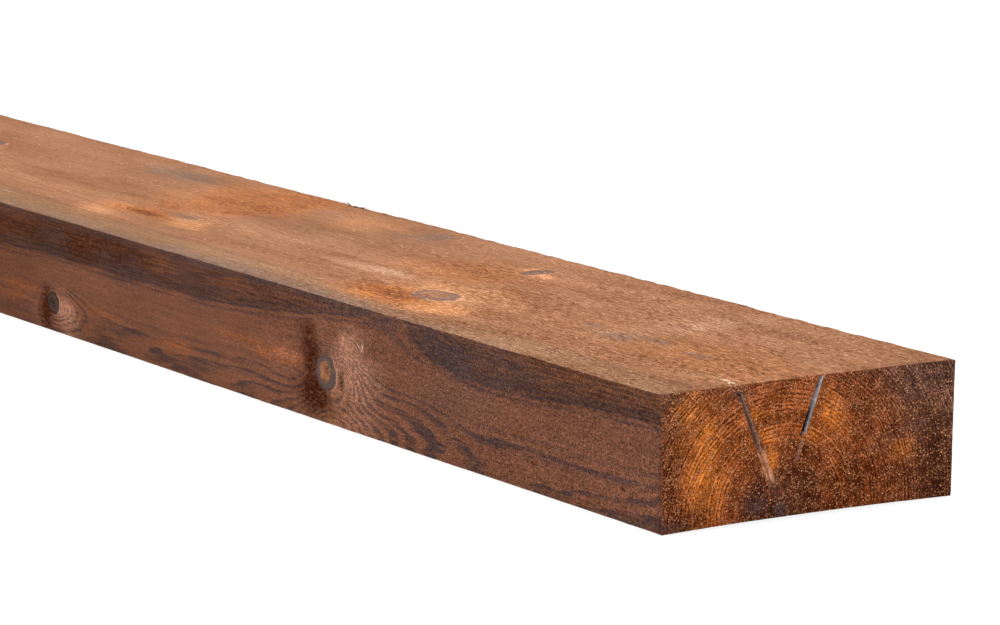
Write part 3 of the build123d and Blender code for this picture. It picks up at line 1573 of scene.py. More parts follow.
@dataclass(frozen=True)
class StainedSoftwood:
    """Rough-sawn softwood under a brown stain, coloured by its growth.

    Attributes:
        long_tones: growth radius and colour on the long faces.
        end_tones: growth radius and colour on the ends.
        line_levels: growth radius and strength of the ring lines on the long faces.
        side_line: colour of the ring lines on the front and the back.
        top_line: colour of the ring lines on the top and the bed.
        top_heartwood: colour of the outer heartwood on the top.
        top_sapwood: colour of the sapwood along the top's front edge.
        streak: colour of the streaks in the sapwood.
        speckle, top_speckle: colours of the fine dull specks on upright and lying faces.
        grey, dark, bright, torn, pale: colours of the stains.
        top_grey: colour of grey stains on the top and the bed.
        top_dash_and_shadow: colour of the short dark fibres on the top and the bed, and of their painted
            shadows.
        side_bright: colour of bright places on the front and the back.
        end_bright, end_smear, end_speck: colours of bright places, smears and open fibres on the ends.
        knot_tan, knot_grey, knot_ring, knot_bark: colours of the knots.
        open_wall, tight_wall, tight_foot: colours inside the two checks; check_painted_shade: colour of the
            painted shade inside them.
        lying_painted_sheen: painted sheen that pales the top and the bed, as factors.
        roughness: of the dry surface.
        specular: how little it shines.
        bump, bump_m: strength of the finest relief, and its height in metres.
        sapwood: growth radius at which the sapwood starts and has fully started.
        dull_back: Y on an end from which it grows dull towards the back, and where it is dullest.
        worn_arris_and_highlight: bare worn wood and a painted highlight along the ends' arrises.
        dull_specks: specks on the long faces.
        broken_lines: breaks in the ring lines.
        sap_streaks: streaks in the sapwood.
        pale_flecks: single pale fibres.
        tufts, shreds: where dark fibres and their painted shadows lie on the top, singly and torn off
            together.
        warm_cores: warmer places in the knots.
        ring_patches: where the ends' rings show.
        speck_patches: where the ends' open fibres show.
        shade_layers: streaks on the long faces.
        end_mottle: cell, shift and depth of each mottling on the ends.
    """

    long_tones: tuple[tuple[float, Colour], ...] = (
        (0.0, srgb(118, 66, 42)), (40.0, srgb(196, 130, 92)), (60.0, srgb(206, 143, 102)),
        (78.0, srgb(198, 136, 100)), (92.0, srgb(172, 113, 83)), (105.0, srgb(163, 107, 80)),
        (119.0, srgb(160, 104, 78)), (122.5, srgb(120, 82, 66)), (129.0, srgb(154, 97, 66)),
        (145.0, srgb(148, 91, 62)), (180.0, srgb(138, 86, 60)),
    )
    end_tones: tuple[tuple[float, Colour], ...] = (
        (0.0, srgb(96, 54, 38)), (20.0, srgb(108, 58, 38)), (30.0, srgb(124, 64, 36)),
        (45.0, srgb(156, 80, 40)), (60.0, srgb(174, 92, 44)), (75.0, srgb(170, 89, 44)),
        (90.0, srgb(146, 76, 42)), (105.0, srgb(140, 75, 42)), (118.0, srgb(132, 75, 48)),
        (125.0, srgb(120, 73, 53)), (140.0, srgb(119, 76, 58)), (170.0, srgb(112, 73, 58)),
    )
    line_levels: tuple[tuple[float, float], ...] = (
        (30.0, 0.15), (72.0, 0.35), (82.0, 0.7), (97.0, 0.8), (103.2, 0.75), (104.4, 0.4),
        (106.5, 0.12), (116.0, 0.15), (119.5, 0.9), (122.5, 0.9), (124.5, 0.4), (180.0, 0.4),
    )
    side_line: Colour = srgb(84, 72, 74)
    top_line: Colour = srgb(128, 78, 54)
    top_heartwood: Colour = srgb(163, 107, 80)
    top_sapwood: Colour = srgb(154, 108, 82)
    streak: Colour = srgb(82, 58, 48)
    speckle: Colour = srgb(122, 88, 78)
    top_speckle: Colour = srgb(170, 99, 60)
    grey: Colour = srgb(102, 81, 79)
    top_grey: Colour = srgb(130, 98, 86)
    top_dash_and_shadow: Colour = srgb(112, 58, 36)
    dark: Colour = srgb(80, 30, 5)
    bright: Colour = srgb(226, 147, 100)
    side_bright: Colour = srgb(236, 170, 138)
    torn: Colour = srgb(214, 124, 70)
    pale: Colour = srgb(198, 142, 114)
    end_bright: Colour = srgb(220, 124, 48)
    end_smear: Colour = srgb(110, 78, 64)
    end_speck: Colour = srgb(255, 180, 128)
    knot_tan: Colour = srgb(208, 140, 98)
    knot_grey: Colour = srgb(114, 94, 84)
    knot_ring: Colour = srgb(122, 102, 97)
    knot_bark: Colour = srgb(44, 30, 25)
    open_wall: Colour = srgb(214, 212, 220)
    tight_wall: Colour = srgb(190, 150, 132)
    tight_foot: Colour = srgb(255, 186, 146)
    # Colour of the painted shade deep inside the checks
    check_painted_shade: Colour = srgb(26, 19, 18)
    lying_painted_sheen: Colour = (1.045, 1.24, 1.225)
    roughness: float = 0.85
    specular: float = 0.02
    bump: float = 0.7
    bump_m: float = 0.0012
    sapwood: tuple[float, float] = (118.0, 123.0)
    dull_back: tuple[float, float] = (140.0, 235.0)
    worn_arris_and_highlight: Fleck = Fleck((2.0, 3.0, 3.0), 2.0, 27.0, (0.3, 0.7), (0.0, 0.8))
    dull_specks: Fleck = Fleck((2.2, 1.2, 1.2), 2.0, 33.0, (0.48, 0.64), (0.0, 0.4))
    broken_lines: Fleck = Fleck((44.0, 3.0, 3.0), 3.0, 3.0, (0.34, 0.56), (0.2, 1.0))
    sap_streaks: Fleck = Fleck((34.0, 1.5, 1.5), 3.0, 31.0, (0.46, 0.6), (0.0, 0.66))
    pale_flecks: Fleck = Fleck((3.2, 1.3, 1.3), 1.0, 10.0, (0.63, 0.74), (1.0, 1.35))
    tufts: Fleck = Fleck((90.0, 26.0, 26.0), 2.0, 39.0, (0.42, 0.62), (0.2, 0.75))
    shreds: Fleck = Fleck((12.0, 6.0, 6.0), 2.0, 43.0, (0.47, 0.55), (0.0, 0.65))
    warm_cores: Fleck = Fleck((7.0, 7.0, 7.0), 2.0, 14.0, (0.42, 0.6), (0.7, 1.2))
    ring_patches: Fleck = Fleck((26.0, 16.0, 16.0), 3.0, 19.0, (0.36, 0.6), (0.35, 1.3))
    speck_patches: Fleck = Fleck((18.0, 9.0, 9.0), 4.0, 25.0, (0.38, 0.62), (0.2, 0.75))
    shade_layers: tuple[ShadeLayer, ...] = (
        ShadeLayer((170.0, 46.0, 46.0), 2.0, 1.0, 0.6, 0.9),
        ShadeLayer((60.0, 2.0, 2.0), 3.0, 2.0, 0.55, 0.7),
        ShadeLayer((11.0, 1.1, 1.1), 2.0, 4.0, 0.6, 1.1, sawn=True),
        ShadeLayer((1.6, 1.2, 1.2), 2.0, 6.0, 2.7, 2.2, sawn=True),
        ShadeLayer((6.0, 2.6, 2.6), 2.0, 8.0, 0.6, 1.4, sawn=True),
    )
    end_mottle: tuple[tuple[Triple, float, float], ...] = (
        ((30.0, 22.0, 22.0), 15.0, 1.8), ((6.0, 5.0, 5.0), 16.0, 1.7), ((1.5, 1.2, 1.2), 17.0, 3.2),
    )
    smears: tuple[Smear, ...] = (
        Smear(OPEN_CHECK.lean, 36.0, 60.0, 3.0, 0.3, tight_wall),
        Smear(TIGHT_CHECK.lean, 46.0, 99.0, 5.0, 0.75, end_smear),
        Smear(TIGHT_CHECK.lean, 24.0, 54.0, 4.4, 0.95, tight_foot),
        Smear(TIGHT_CHECK.lean, 8.0, 32.0, 3.0, 0.6, end_smear),
        Smear(0.0, 78.0, 94.0, 0.6, 0.7, knot_bark),
    )

    def material(self, growth: Growth) -> bpy.types.Material:
        """Builds the material.

        Args:
            growth: the tree, for its heart and the block's corner.

        Returns:
            A material that reads the mesh's attributes and object coordinates.
        """
        material = bpy.data.materials.new("stained_softwood")
        graph = Graph.of(material)
        places = self.places(graph, growth)
        radius = self.growth_radius(graph, growth, places)
        colour = self.knots(graph, places, self.long_grain(graph, places, radius))
        end_share = graph.mask("end_grain")
        colour = graph.mix(end_share, colour, self.end_grain(graph, places, radius))
        # Bare worn wood with a painted highlight along the ends' arrises
        worn = graph.times(graph.mask("end_arris"), graph.flecks(places, self.worn_arris_and_highlight))
        colour = self.check_walls(graph, places, graph.mix(worn, colour, self.pale))
        graph.surface(graph.made("BsdfPrincipled", {
            "Base Color": colour, "Roughness": self.roughness, "Specular IOR Level": self.specular,
            "Normal": self.fibre_bump(graph, places, end_share),
        }))
        return material

    def places(self, graph: Graph, growth: Growth) -> Socket:
        """Places in the sawyer's frame.

        Args:
            graph: the material's nodes.
            growth: the tree, for the block's corner.

        Returns:
            X, Y and Z in millimetres.
        """
        coordinates = graph.node("TexCoord").outputs["Object"]
        shift = tuple(-value / MM for value in growth.timber.corner_m)
        return graph.vector("MULTIPLY_ADD", coordinates, (1.0 / MM,) * 3, shift)

    def growth_radius(self, graph: Graph, growth: Growth, places: Socket) -> Socket:
        """Distance from the heart less the swelling, with a fine waver.

        Args:
            graph: the material's nodes.
            growth: the tree, for its heart.
            places: places in the sawyer's frame.

        Returns:
            The growth radius.
        """
        from_heart = (0.0, -growth.heart_y, -growth.heart_z)
        flat = graph.vector("MULTIPLY_ADD", places, (0.0, 1.0, 1.0), from_heart)
        swollen = graph.math("SUBTRACT", graph.length(flat), graph.mask("swell"))
        return graph.math("ADD", swollen, graph.waver(places, (46.0, 7.0, 7.0), 3.0, 7.0, 1.2))

    def ring_turns(self, graph: Graph, radius: Socket) -> Socket:
        """Years counted outwards, whole just outside each dark line."""
        return graph.fit(radius, 1.0 / RING_STEP, 0.93 - LINE_RADIUS / RING_STEP)

    def long_grain(self, graph: Graph, places: Socket, radius: Socket) -> Socket:
        """Colour of the long faces.

        The growth radius gives the tone, each ring's dark line is laid over it, and streaks drawn out
        along the grain, specks and stains vary it.

        Args:
            graph: the material's nodes.
            places: places in the sawyer's frame.
            radius: growth radius.

        Returns:
            The colour.
        """
        lying = graph.mask("lying")
        upright = graph.math("SUBTRACT", 1.0, lying)
        rough = self.sawn_rough(graph, places)
        tone = graph.ramp(radius, RAMP_SPAN, self.long_tones)
        tone = self.top_strip(graph, places, radius, lying, tone)
        specks = graph.times(graph.flecks(places, self.dull_specks), rough)
        tone = graph.mix(specks, tone, graph.mix(lying, self.speckle, self.top_speckle))
        tone = self.bright_places(graph, places, tone, graph.mix(lying, self.side_bright, self.bright))
        lines = self.ring_lines(graph, places, radius, lying)
        tone = graph.mix(lines, tone, graph.mix(lying, self.side_line, self.top_line))
        sapwood = graph.step(radius, *self.sapwood)
        streaks = graph.times(graph.flecks(places, self.sap_streaks), sapwood, upright)
        tone = graph.mix(streaks, tone, self.streak)
        tone = self.stains(graph, places, tone, graph.mix(lying, self.grey, self.top_grey))
        torn = graph.math("MAXIMUM", rough, graph.mask(Stain.TORN.value))
        # Dark fibres on the lying faces, with their painted shadows
        tone = graph.mix(graph.times(self.fibre_dashes_and_shadows(graph, places), lying, torn), tone, self.top_dash_and_shadow)
        # Painted sheen: the top and the bed are paled and made less saturated.
        tone = graph.mix(lying, tone, graph.vector("MULTIPLY", tone, self.lying_painted_sheen))
        return graph.redden(tone, self.fibre_shade(graph, places, lying, rough), graph.times(lying, 0.15))

    def ring_lines(self, graph: Graph, places: Socket, radius: Socket, lying: Socket) -> Socket:
        """Where the dark lines of the rings show on the long faces.

        They are fainter on the lying faces and in bright places, thicker below the near knot on the
        front, and broken along the grain.

        Args:
            graph: the material's nodes.
            places: places in the sawyer's frame.
            radius: growth radius.
            lying: 1 on the top and the bed.

        Returns:
            Their strength.
        """
        below_knot = graph.band(graph.part(places, "X"), (-450.0, -420.0), (-240.0, -215.0))
        thick = graph.times(graph.step(radius, 96.0, 100.5, 1.0, 0.0), below_knot)
        phase = graph.math("FRACT", self.ring_turns(graph, radius))
        line = graph.band(phase, (0.3, graph.fit(thick, -0.34, 0.8)), (0.9, 1.0))
        level = graph.levels(radius, RAMP_SPAN, self.line_levels)
        clear = graph.fit(graph.mask(Stain.BRIGHT.value), -0.4, 1.0)
        broken = graph.flecks(places, self.broken_lines)
        return graph.times(line, level, graph.fit(lying, -0.6, 1.0), clear, broken)

    def sawn_rough(self, graph: Graph, places: Socket) -> Socket:
        """How rough the saw left the long faces: most by the checked end, and less from there on."""
        return graph.step(graph.part(places, "X"), -800.0, -250.0, 0.4, 1.1)

    def top_strip(self, graph: Graph, places: Socket, radius: Socket, lying: Socket, tone: Socket) -> Socket:
        """Lays the strip of sapwood along the top's front edge, with a darker line at its inner side.

        Args:
            graph: the material's nodes.
            places: places in the sawyer's frame.
            radius: growth radius.
            lying: 1 on the top and the bed.
            tone: the wood's colour.

        Returns:
            The colour with the strip.
        """
        by_front = graph.step(graph.part(places, "Y"), 45.0, 70.0, 1.0, 0.0)
        outer = graph.mix(by_front, self.top_heartwood, self.top_sapwood)
        line = graph.band(radius, (110.0, 113.0), (113.5, 117.0))
        outer = graph.mix(graph.times(line, by_front, 0.35), outer, self.top_line)
        return graph.mix(graph.times(graph.step(radius, 110.0, 114.0), lying), tone, outer)

    def fibre_shade(self, graph: Graph, places: Socket, lying: Socket, rough: Socket) -> Socket:
        """Light and dark streaks along the grain, broader on the lying faces.

        Args:
            graph: the material's nodes.
            places: places in the sawyer's frame.
            lying: 1 on the top and the bed.
            rough: how rough the saw left the face.

        Returns:
            A factor about 1: the product of the shade layers, the pale flecks and a slight darkening towards
                the plain end.
        """
        far_darkening = graph.step(graph.part(places, "X"), -900.0, -450.0, 0.94, 1.0)
        factors = [graph.flecks(places, self.pale_flecks), far_darkening]
        for layer in self.shade_layers:
            depth = graph.fit(lying, layer.top_depth - layer.side_depth, layer.side_depth)
            if layer.sawn:
                depth = graph.times(depth, rough)
            middle = graph.waver(places, layer.cell, layer.detail, layer.shift, 0.5)
            factors.append(graph.fit(middle, depth, 1.0))
        return graph.times(*factors)

    def fibre_dashes_and_shadows(self, graph: Graph, places: Socket) -> Socket:
        """Short dark fibres and their painted shadows in loose tufts, most of them where the face is torn or
        at the checked end.

        Args:
            graph: the material's nodes.
            places: places in the sawyer's frame.

        Returns:
            Their strength.
        """
        torn = graph.mask(Stain.TORN.value)
        tufts = graph.math("MINIMUM", graph.fit(torn, 0.5, graph.flecks(places, self.tufts)), 0.95)
        fibre = graph.fit(torn, 0.05, graph.noise(places, (9.0, 1.5, 1.5), 1.0, 9.0))
        # A ragged dark fringe along the checked end: fibres in painted shade
        ragged = graph.waver(places, (30.0, 3.0, 3.0), 3.0, 41.0, 4.5)
        from_end = graph.math("ADD", graph.part(places, "X"), ragged)
        edge = graph.step(from_end, -2.6, -1.0, 0.0, 0.85)
        torn_off = graph.math("MAXIMUM", graph.times(graph.flecks(places, self.shreds), torn), edge)
        return graph.math("MAXIMUM", graph.times(graph.step(fibre, 0.5, 0.63), tufts), torn_off)

    def uneven(self, graph: Graph, places: Socket) -> Socket:
        """Breaks stains up along the grain, as a factor about 1."""
        return graph.mottle(places, (5.0, 2.2, 2.2), 3.0, 9.0, 2.4)

    def streaky(self, graph: Graph, places: Socket) -> Socket:
        """Draws stains out into streaks along the grain, as a factor about 1."""
        return graph.mottle(places, (26.0, 1.8, 1.8), 3.0, 35.0, 5.0)

    def bright_places(self, graph: Graph, places: Socket, tone: Socket, bright: object) -> Socket:
        """Lays the bright places over a tone, under its ring lines.

        Args:
            graph: the material's nodes.
            places: places in the sawyer's frame.
            tone: the wood's colour.
            bright: colour of the bright places there.

        Returns:
            The colour with bright places.
        """
        share = graph.times(graph.mask(Stain.BRIGHT.value), self.uneven(graph, places))
        return graph.mix(graph.math("MINIMUM", share, 0.9), tone, bright)

    def stains(self, graph: Graph, places: Socket, tone: Socket, grey: object) -> Socket:
        """Lays the other stains over a tone.

        Args:
            graph: the material's nodes.
            places: places in the sawyer's frame.
            tone: the wood's colour.
            grey: colour of the grey stains there.

        Returns:
            The stained colour.
        """
        uneven, streaky = self.uneven(graph, places), self.streaky(graph, places)
        looks = ((Stain.TORN, self.torn, 0.9, streaky), (Stain.DARK, self.dark, 0.95, uneven),
                 (Stain.GREY, grey, 0.85, streaky), (Stain.PALE, self.pale, 0.8, uneven))
        for stain, colour, most, breaks in looks:
            wanted = graph.math("MINIMUM", graph.times(graph.mask(stain.value), breaks), most)
            tone = graph.mix(graph.math("MAXIMUM", wanted, 0.0), tone, colour)
        return tone

    def knots(self, graph: Graph, places: Socket, colour: Socket) -> Socket:
        """Paints the knots: a core with fine rings, a grey ring, a dark rim and a pale lip.

        The grey ring is broader below and towards the checked end, where the lip of new wood lies
        against it. A dead knot, which has a dark rim of bark, is dark all over.

        Args:
            graph: the material's nodes.
            places: places in the sawyer's frame.
            colour: the wood round them.

        Returns:
            The colour with knots.
        """
        offset = graph.attribute("knot").outputs["Vector"]
        tone = graph.attribute("knot_tone").outputs["Vector"]
        bark, clear = graph.part(tone, "Y"), graph.part(tone, "Z")
        along, across = graph.part(offset, "X"), graph.part(offset, "Y")
        flat = graph.vector("MULTIPLY", offset, (1.0, 1.0, 0.0))
        waver = graph.waver(places, (7.0, 7.0, 7.0), 3.0, 12.0, 0.25)
        distance = graph.math("ADD", graph.length(flat), waver)
        core = self.knot_core(graph, places, distance, graph.part(tone, "X"))
        turned = graph.fit(graph.math("SUBTRACT", along, across), 0.1, distance)
        core = graph.mix(graph.step(turned, 0.5, 0.68), core, self.knot_ring)
        core = graph.mix(graph.times(graph.step(distance, 0.8, 1.0), bark), core, self.knot_bark)
        dead = graph.step(bark, 0.6, 0.9, 1.0, 0.62)
        core = graph.scale(core, graph.times(dead, graph.mottle(places, (2.2, 1.1, 1.1), 2.0, 13.0, 1.5)))
        lip = graph.band(distance, (1.0, 1.06), (1.12, 1.24))
        lip = graph.times(lip, graph.step(along, 0.3, 0.9, 0.0, 0.75), clear)
        colour = graph.mix(lip, colour, self.side_bright)
        return graph.mix(graph.times(graph.step(distance, 0.94, 1.06, 1.0, 0.0), clear), colour, core)

    def knot_core(self, graph: Graph, places: Socket, distance: Socket, tone: Socket) -> Socket:
        """Colour of a knot's middle, with fine rings, warmer places and cracks.

        Args:
            graph: the material's nodes.
            places: places in the sawyer's frame.
            distance: distance from its middle, in half sizes.
            tone: 0 for grey to 1 for tan.

        Returns:
            The colour.
        """
        phase = graph.math("FRACT", graph.times(distance, 7.0))
        from_crack = graph.math("ABSOLUTE", graph.waver(places, (11.0, 11.0, 11.0), 1.0, 18.0, 0.5))
        shade = graph.times(
            graph.step(phase, 0.4, 1.0, 1.06, 0.88),
            graph.flecks(places, self.warm_cores),
            graph.step(from_crack, 0.0, 0.03, 0.55, 1.0),
        )
        return graph.scale(graph.mix(tone, self.knot_grey, self.knot_tan), shade)

    def end_grain(self, graph: Graph, places: Socket, radius: Socket) -> Socket:
        """Colour of the sawn ends.

        Args:
            graph: the material's nodes.
            places: places in the sawyer's frame.
            radius: growth radius.

        Returns:
            The colour.
        """
        tone = graph.ramp(radius, RAMP_SPAN, self.end_tones)
        tone = self.bright_places(graph, places, tone, self.end_bright)
        tone = self.stains(graph, places, tone, self.grey)
        tone = graph.redden(tone, self.ring_shade(graph, places, radius), 0.1)
        flat = graph.flat(places)
        pits = graph.times(graph.spots(flat, 2.0, 0.42, 0.6), 0.8)
        tone = graph.mix(pits, self.rays(graph, places, tone), self.knot_bark)
        clean = graph.math("SUBTRACT", 1.0, graph.mask(Stain.GREY.value))
        across = graph.part(places, "Y")
        dense = graph.times(graph.flecks(places, self.speck_patches), clean)
        dense = graph.times(dense, graph.step(across, *self.dull_back, 1.0, 0.8))
        fine = graph.spots(flat, 1.4, 0.42, dense)
        fine = graph.times(fine, graph.step(across, *self.dull_back, 0.85, 0.7))
        coarse = graph.spots(flat, 3.0, 0.25, dense)
        return graph.mix(graph.math("MAXIMUM", fine, coarse), tone, self.end_speck)

    def ring_shade(self, graph: Graph, places: Socket, radius: Socket) -> Socket:
        """Light and dark of the rings on the ends.

        Each ring brightens to its outer edge and ends in a dark line, in some years and in some spells of
        years more than in others. Three sizes of mottling are laid over that.

        Args:
            graph: the material's nodes.
            places: places in the sawyer's frame.
            radius: growth radius.

        Returns:
            A factor about 1.
        """
        seasons = graph.noise(graph.scale((0.6, 0.8, 0.3), radius), (15.0, 15.0, 15.0), 1.0, 37.0)
        turns = self.ring_turns(graph, graph.fit(seasons, 7.0, radius))
        phase = graph.math("FRACT", turns)
        year = graph.scale((7.3, 3.1, 5.7), graph.math("FLOOR", turns))
        year = graph.vector("ADD", year, (0.5, 0.5, 0.5))
        yearly = graph.step(graph.noise(year, (1.0, 1.0, 1.0), 0.0), 0.35, 0.65, 0.15, 1.0)
        outside_heart = graph.step(radius, 32.0, 56.0, 0.15, 1.0)
        strength = graph.times(yearly, outside_heart, graph.flecks(places, self.ring_patches))
        pale_line = graph.times(graph.band(phase, (0.05, 0.3), (0.45, 0.7)), 0.75)
        dark_line = graph.times(graph.band(phase, (0.6, 0.85), (0.93, 1.0)), 0.6)
        swing = graph.math("SUBTRACT", pale_line, dark_line)
        spell = graph.mottle(graph.scale((1.0, 0.7, 0.3), turns), (3.4, 3.4, 3.4), 1.0, 29.0, 1.3)
        shade = graph.times(graph.fit(swing, strength, 0.95), spell)
        for cell, shift, depth in self.end_mottle:
            mottle = graph.mottle(places, cell, 2.0, shift, depth)
            shade = graph.times(shade, graph.math("MAXIMUM", mottle, 0.25))
        return shade

    def rays(self, graph: Graph, places: Socket, tone: Socket) -> Socket:
        """Draws the smears on the checked end.

        Each is strongest on its ray, fades to nothing at its half width, and fades in and out at its
        lower and upper end.

        Args:
            graph: the material's nodes.
            places: places in the sawyer's frame.
            tone: the end's colour.

        Returns:
            The colour with smears.
        """
        height = graph.part(places, "Z")
        waver = graph.waver(places, (9.0, 9.0, 9.0), 2.0, 28.0, 1.2)
        across = graph.math("ADD", graph.part(places, "Y"), waver)
        at_check = graph.step(graph.part(places, "X"), -300.0, -200.0)
        for smear in self.smears:
            slope = math.tan(math.radians(smear.lean))
            ray = graph.fit(height, slope, HEART_Y - slope * HEART_Z)
            gap = graph.math("ABSOLUTE", graph.math("SUBTRACT", across, ray))
            near = graph.step(gap, 0.2 * smear.half_width, smear.half_width, smear.depth, 0.0)
            span = graph.band(height, (smear.low, smear.low + 8.0), (smear.high - 6.0, smear.high))
            tone = graph.mix(graph.times(near, span, at_check), tone, smear.colour)
        return tone

    def check_walls(self, graph: Graph, places: Socket, colour: Socket) -> Socket:
        """Colours the torn walls of the checks, which opened after the wood was stained, and darkens them
        with painted shade.

        Args:
            graph: the material's nodes.
            places: places in the sawyer's frame.
            colour: the wood round them.

        Returns:
            The colour with the walls.
        """
        fibre = graph.mottle(places, (6.0, 1.4, 2.6), 3.0, 26.0, 2.2)
        above_foot = graph.step(graph.part(places, "Z"), 44.0, 56.0)
        tight = graph.mix(above_foot, self.tight_foot, self.tight_wall)
        # Painted shade: each wall is darkened towards check_painted_shade by the gloom mask.
        painted_shade = graph.mask("painted_shade")
        for name, wall in (("open_wall", self.open_wall), ("tight_wall", tight)):
            shaded_wall = graph.mix(painted_shade, graph.scale(wall, fibre), self.check_painted_shade)
            colour = graph.mix(graph.times(graph.mask(name), 0.95), colour, shaded_wall)
        return colour

    def fibre_bump(self, graph: Graph, places: Socket, end_share: Socket) -> Socket:
        """Fine roughness: fibres along the grain on the long faces, an even fuzz on the ends.

        Args:
            graph: the material's nodes.
            places: places in the sawyer's frame.
            end_share: 1 on the ends.

        Returns:
            The bumped normal.
        """
        fibre = graph.noise(places, (10.0, 1.2, 1.2), 3.0, 21.0)
        fuzz = graph.noise(places, (1.6, 1.2, 1.2), 2.0, 22.0)
        height = graph.fit(fuzz, graph.fit(end_share, 0.4, 0.7), fibre)
        height = graph.times(height, self.sawn_rough(graph, places))
        bump = {"Strength": self.bump, "Distance": self.bump_m, "Height": height}
        return graph.made("Bump", bump).outputs["Normal"]


@dataclass(frozen=True)
class FibreField:
    """A stretch of a long face where loose fibres lie.

    Attributes:
        face: the face that they lie on.
        x: lowest and highest X.
        across: lowest and highest place across the face.
        count: how many.
        length: shortest and longest.
        tone: darkest and palest, from 0 for stained to 1 for bare wood.
        stout: how much thicker than the rest.
        slant: turn away from the grain that they share, in radians.
    """

    face: Face
    x: tuple[float, float]
    across: tuple[float, float]
    count: int
    length: tuple[float, float]
    tone: tuple[float, float]
    stout: float = 1.0
    slant: float = 0.0


FIBRE_FIELDS = (
    FibreField(Face.TOP, (-760.0, -4.0), (2.0, 248.0), 1500, (2.0, 8.0), (0.15, 1.0)),
    FibreField(Face.TOP, (-150.0, -1.0), (60.0, 248.0), 420, (2.0, 6.0), (0.0, 1.0)),
    FibreField(Face.TOP, (-14.0, -0.5), (2.0, 248.0), 260, (1.5, 4.0), (0.0, 0.6)),
    FibreField(Face.TOP, (-16.0, -15.0), (66.0, 68.0), 4, (10.0, 14.0), (0.9, 1.0), stout=4.5, slant=-0.25),
    FibreField(Face.TOP, (-530.0, -430.0), (38.0, 70.0), 200, (3.0, 9.0), (0.0, 0.7)),
    FibreField(Face.TOP, (-990.0, -880.0), (70.0, 250.0), 160, (3.0, 9.0), (0.0, 0.6)),
    FibreField(Face.TOP, (-2395.0, -760.0), (2.0, 248.0), 700, (3.0, 9.0), (0.15, 1.0)),
    FibreField(Face.FRONT, (-760.0, -4.0), (2.0, 98.0), 500, (2.0, 6.0), (0.0, 0.5)),
    FibreField(Face.FRONT, (-427.0, -424.0), (63.0, 67.0), 4, (7.0, 10.0), (1.0, 1.0), stout=2.6, slant=1.0),
    FibreField(Face.FRONT, (-2395.0, -760.0), (2.0, 98.0), 320, (3.0, 7.0), (0.0, 0.5)),
    FibreField(Face.BACK, (-2395.0, -4.0), (2.0, 98.0), 500, (3.0, 7.0), (0.0, 0.5)),
    FibreField(Face.TOP, (-2395.0, -250.0), (244.0, 248.0), 60, (4.0, 9.0), (0.0, 0.4), stout=2.0),
    FibreField(Face.TOP, (-885.0, -865.0), (245.0, 248.0), 5, (12.0, 20.0), (0.0, 0.1), stout=3.5),
)


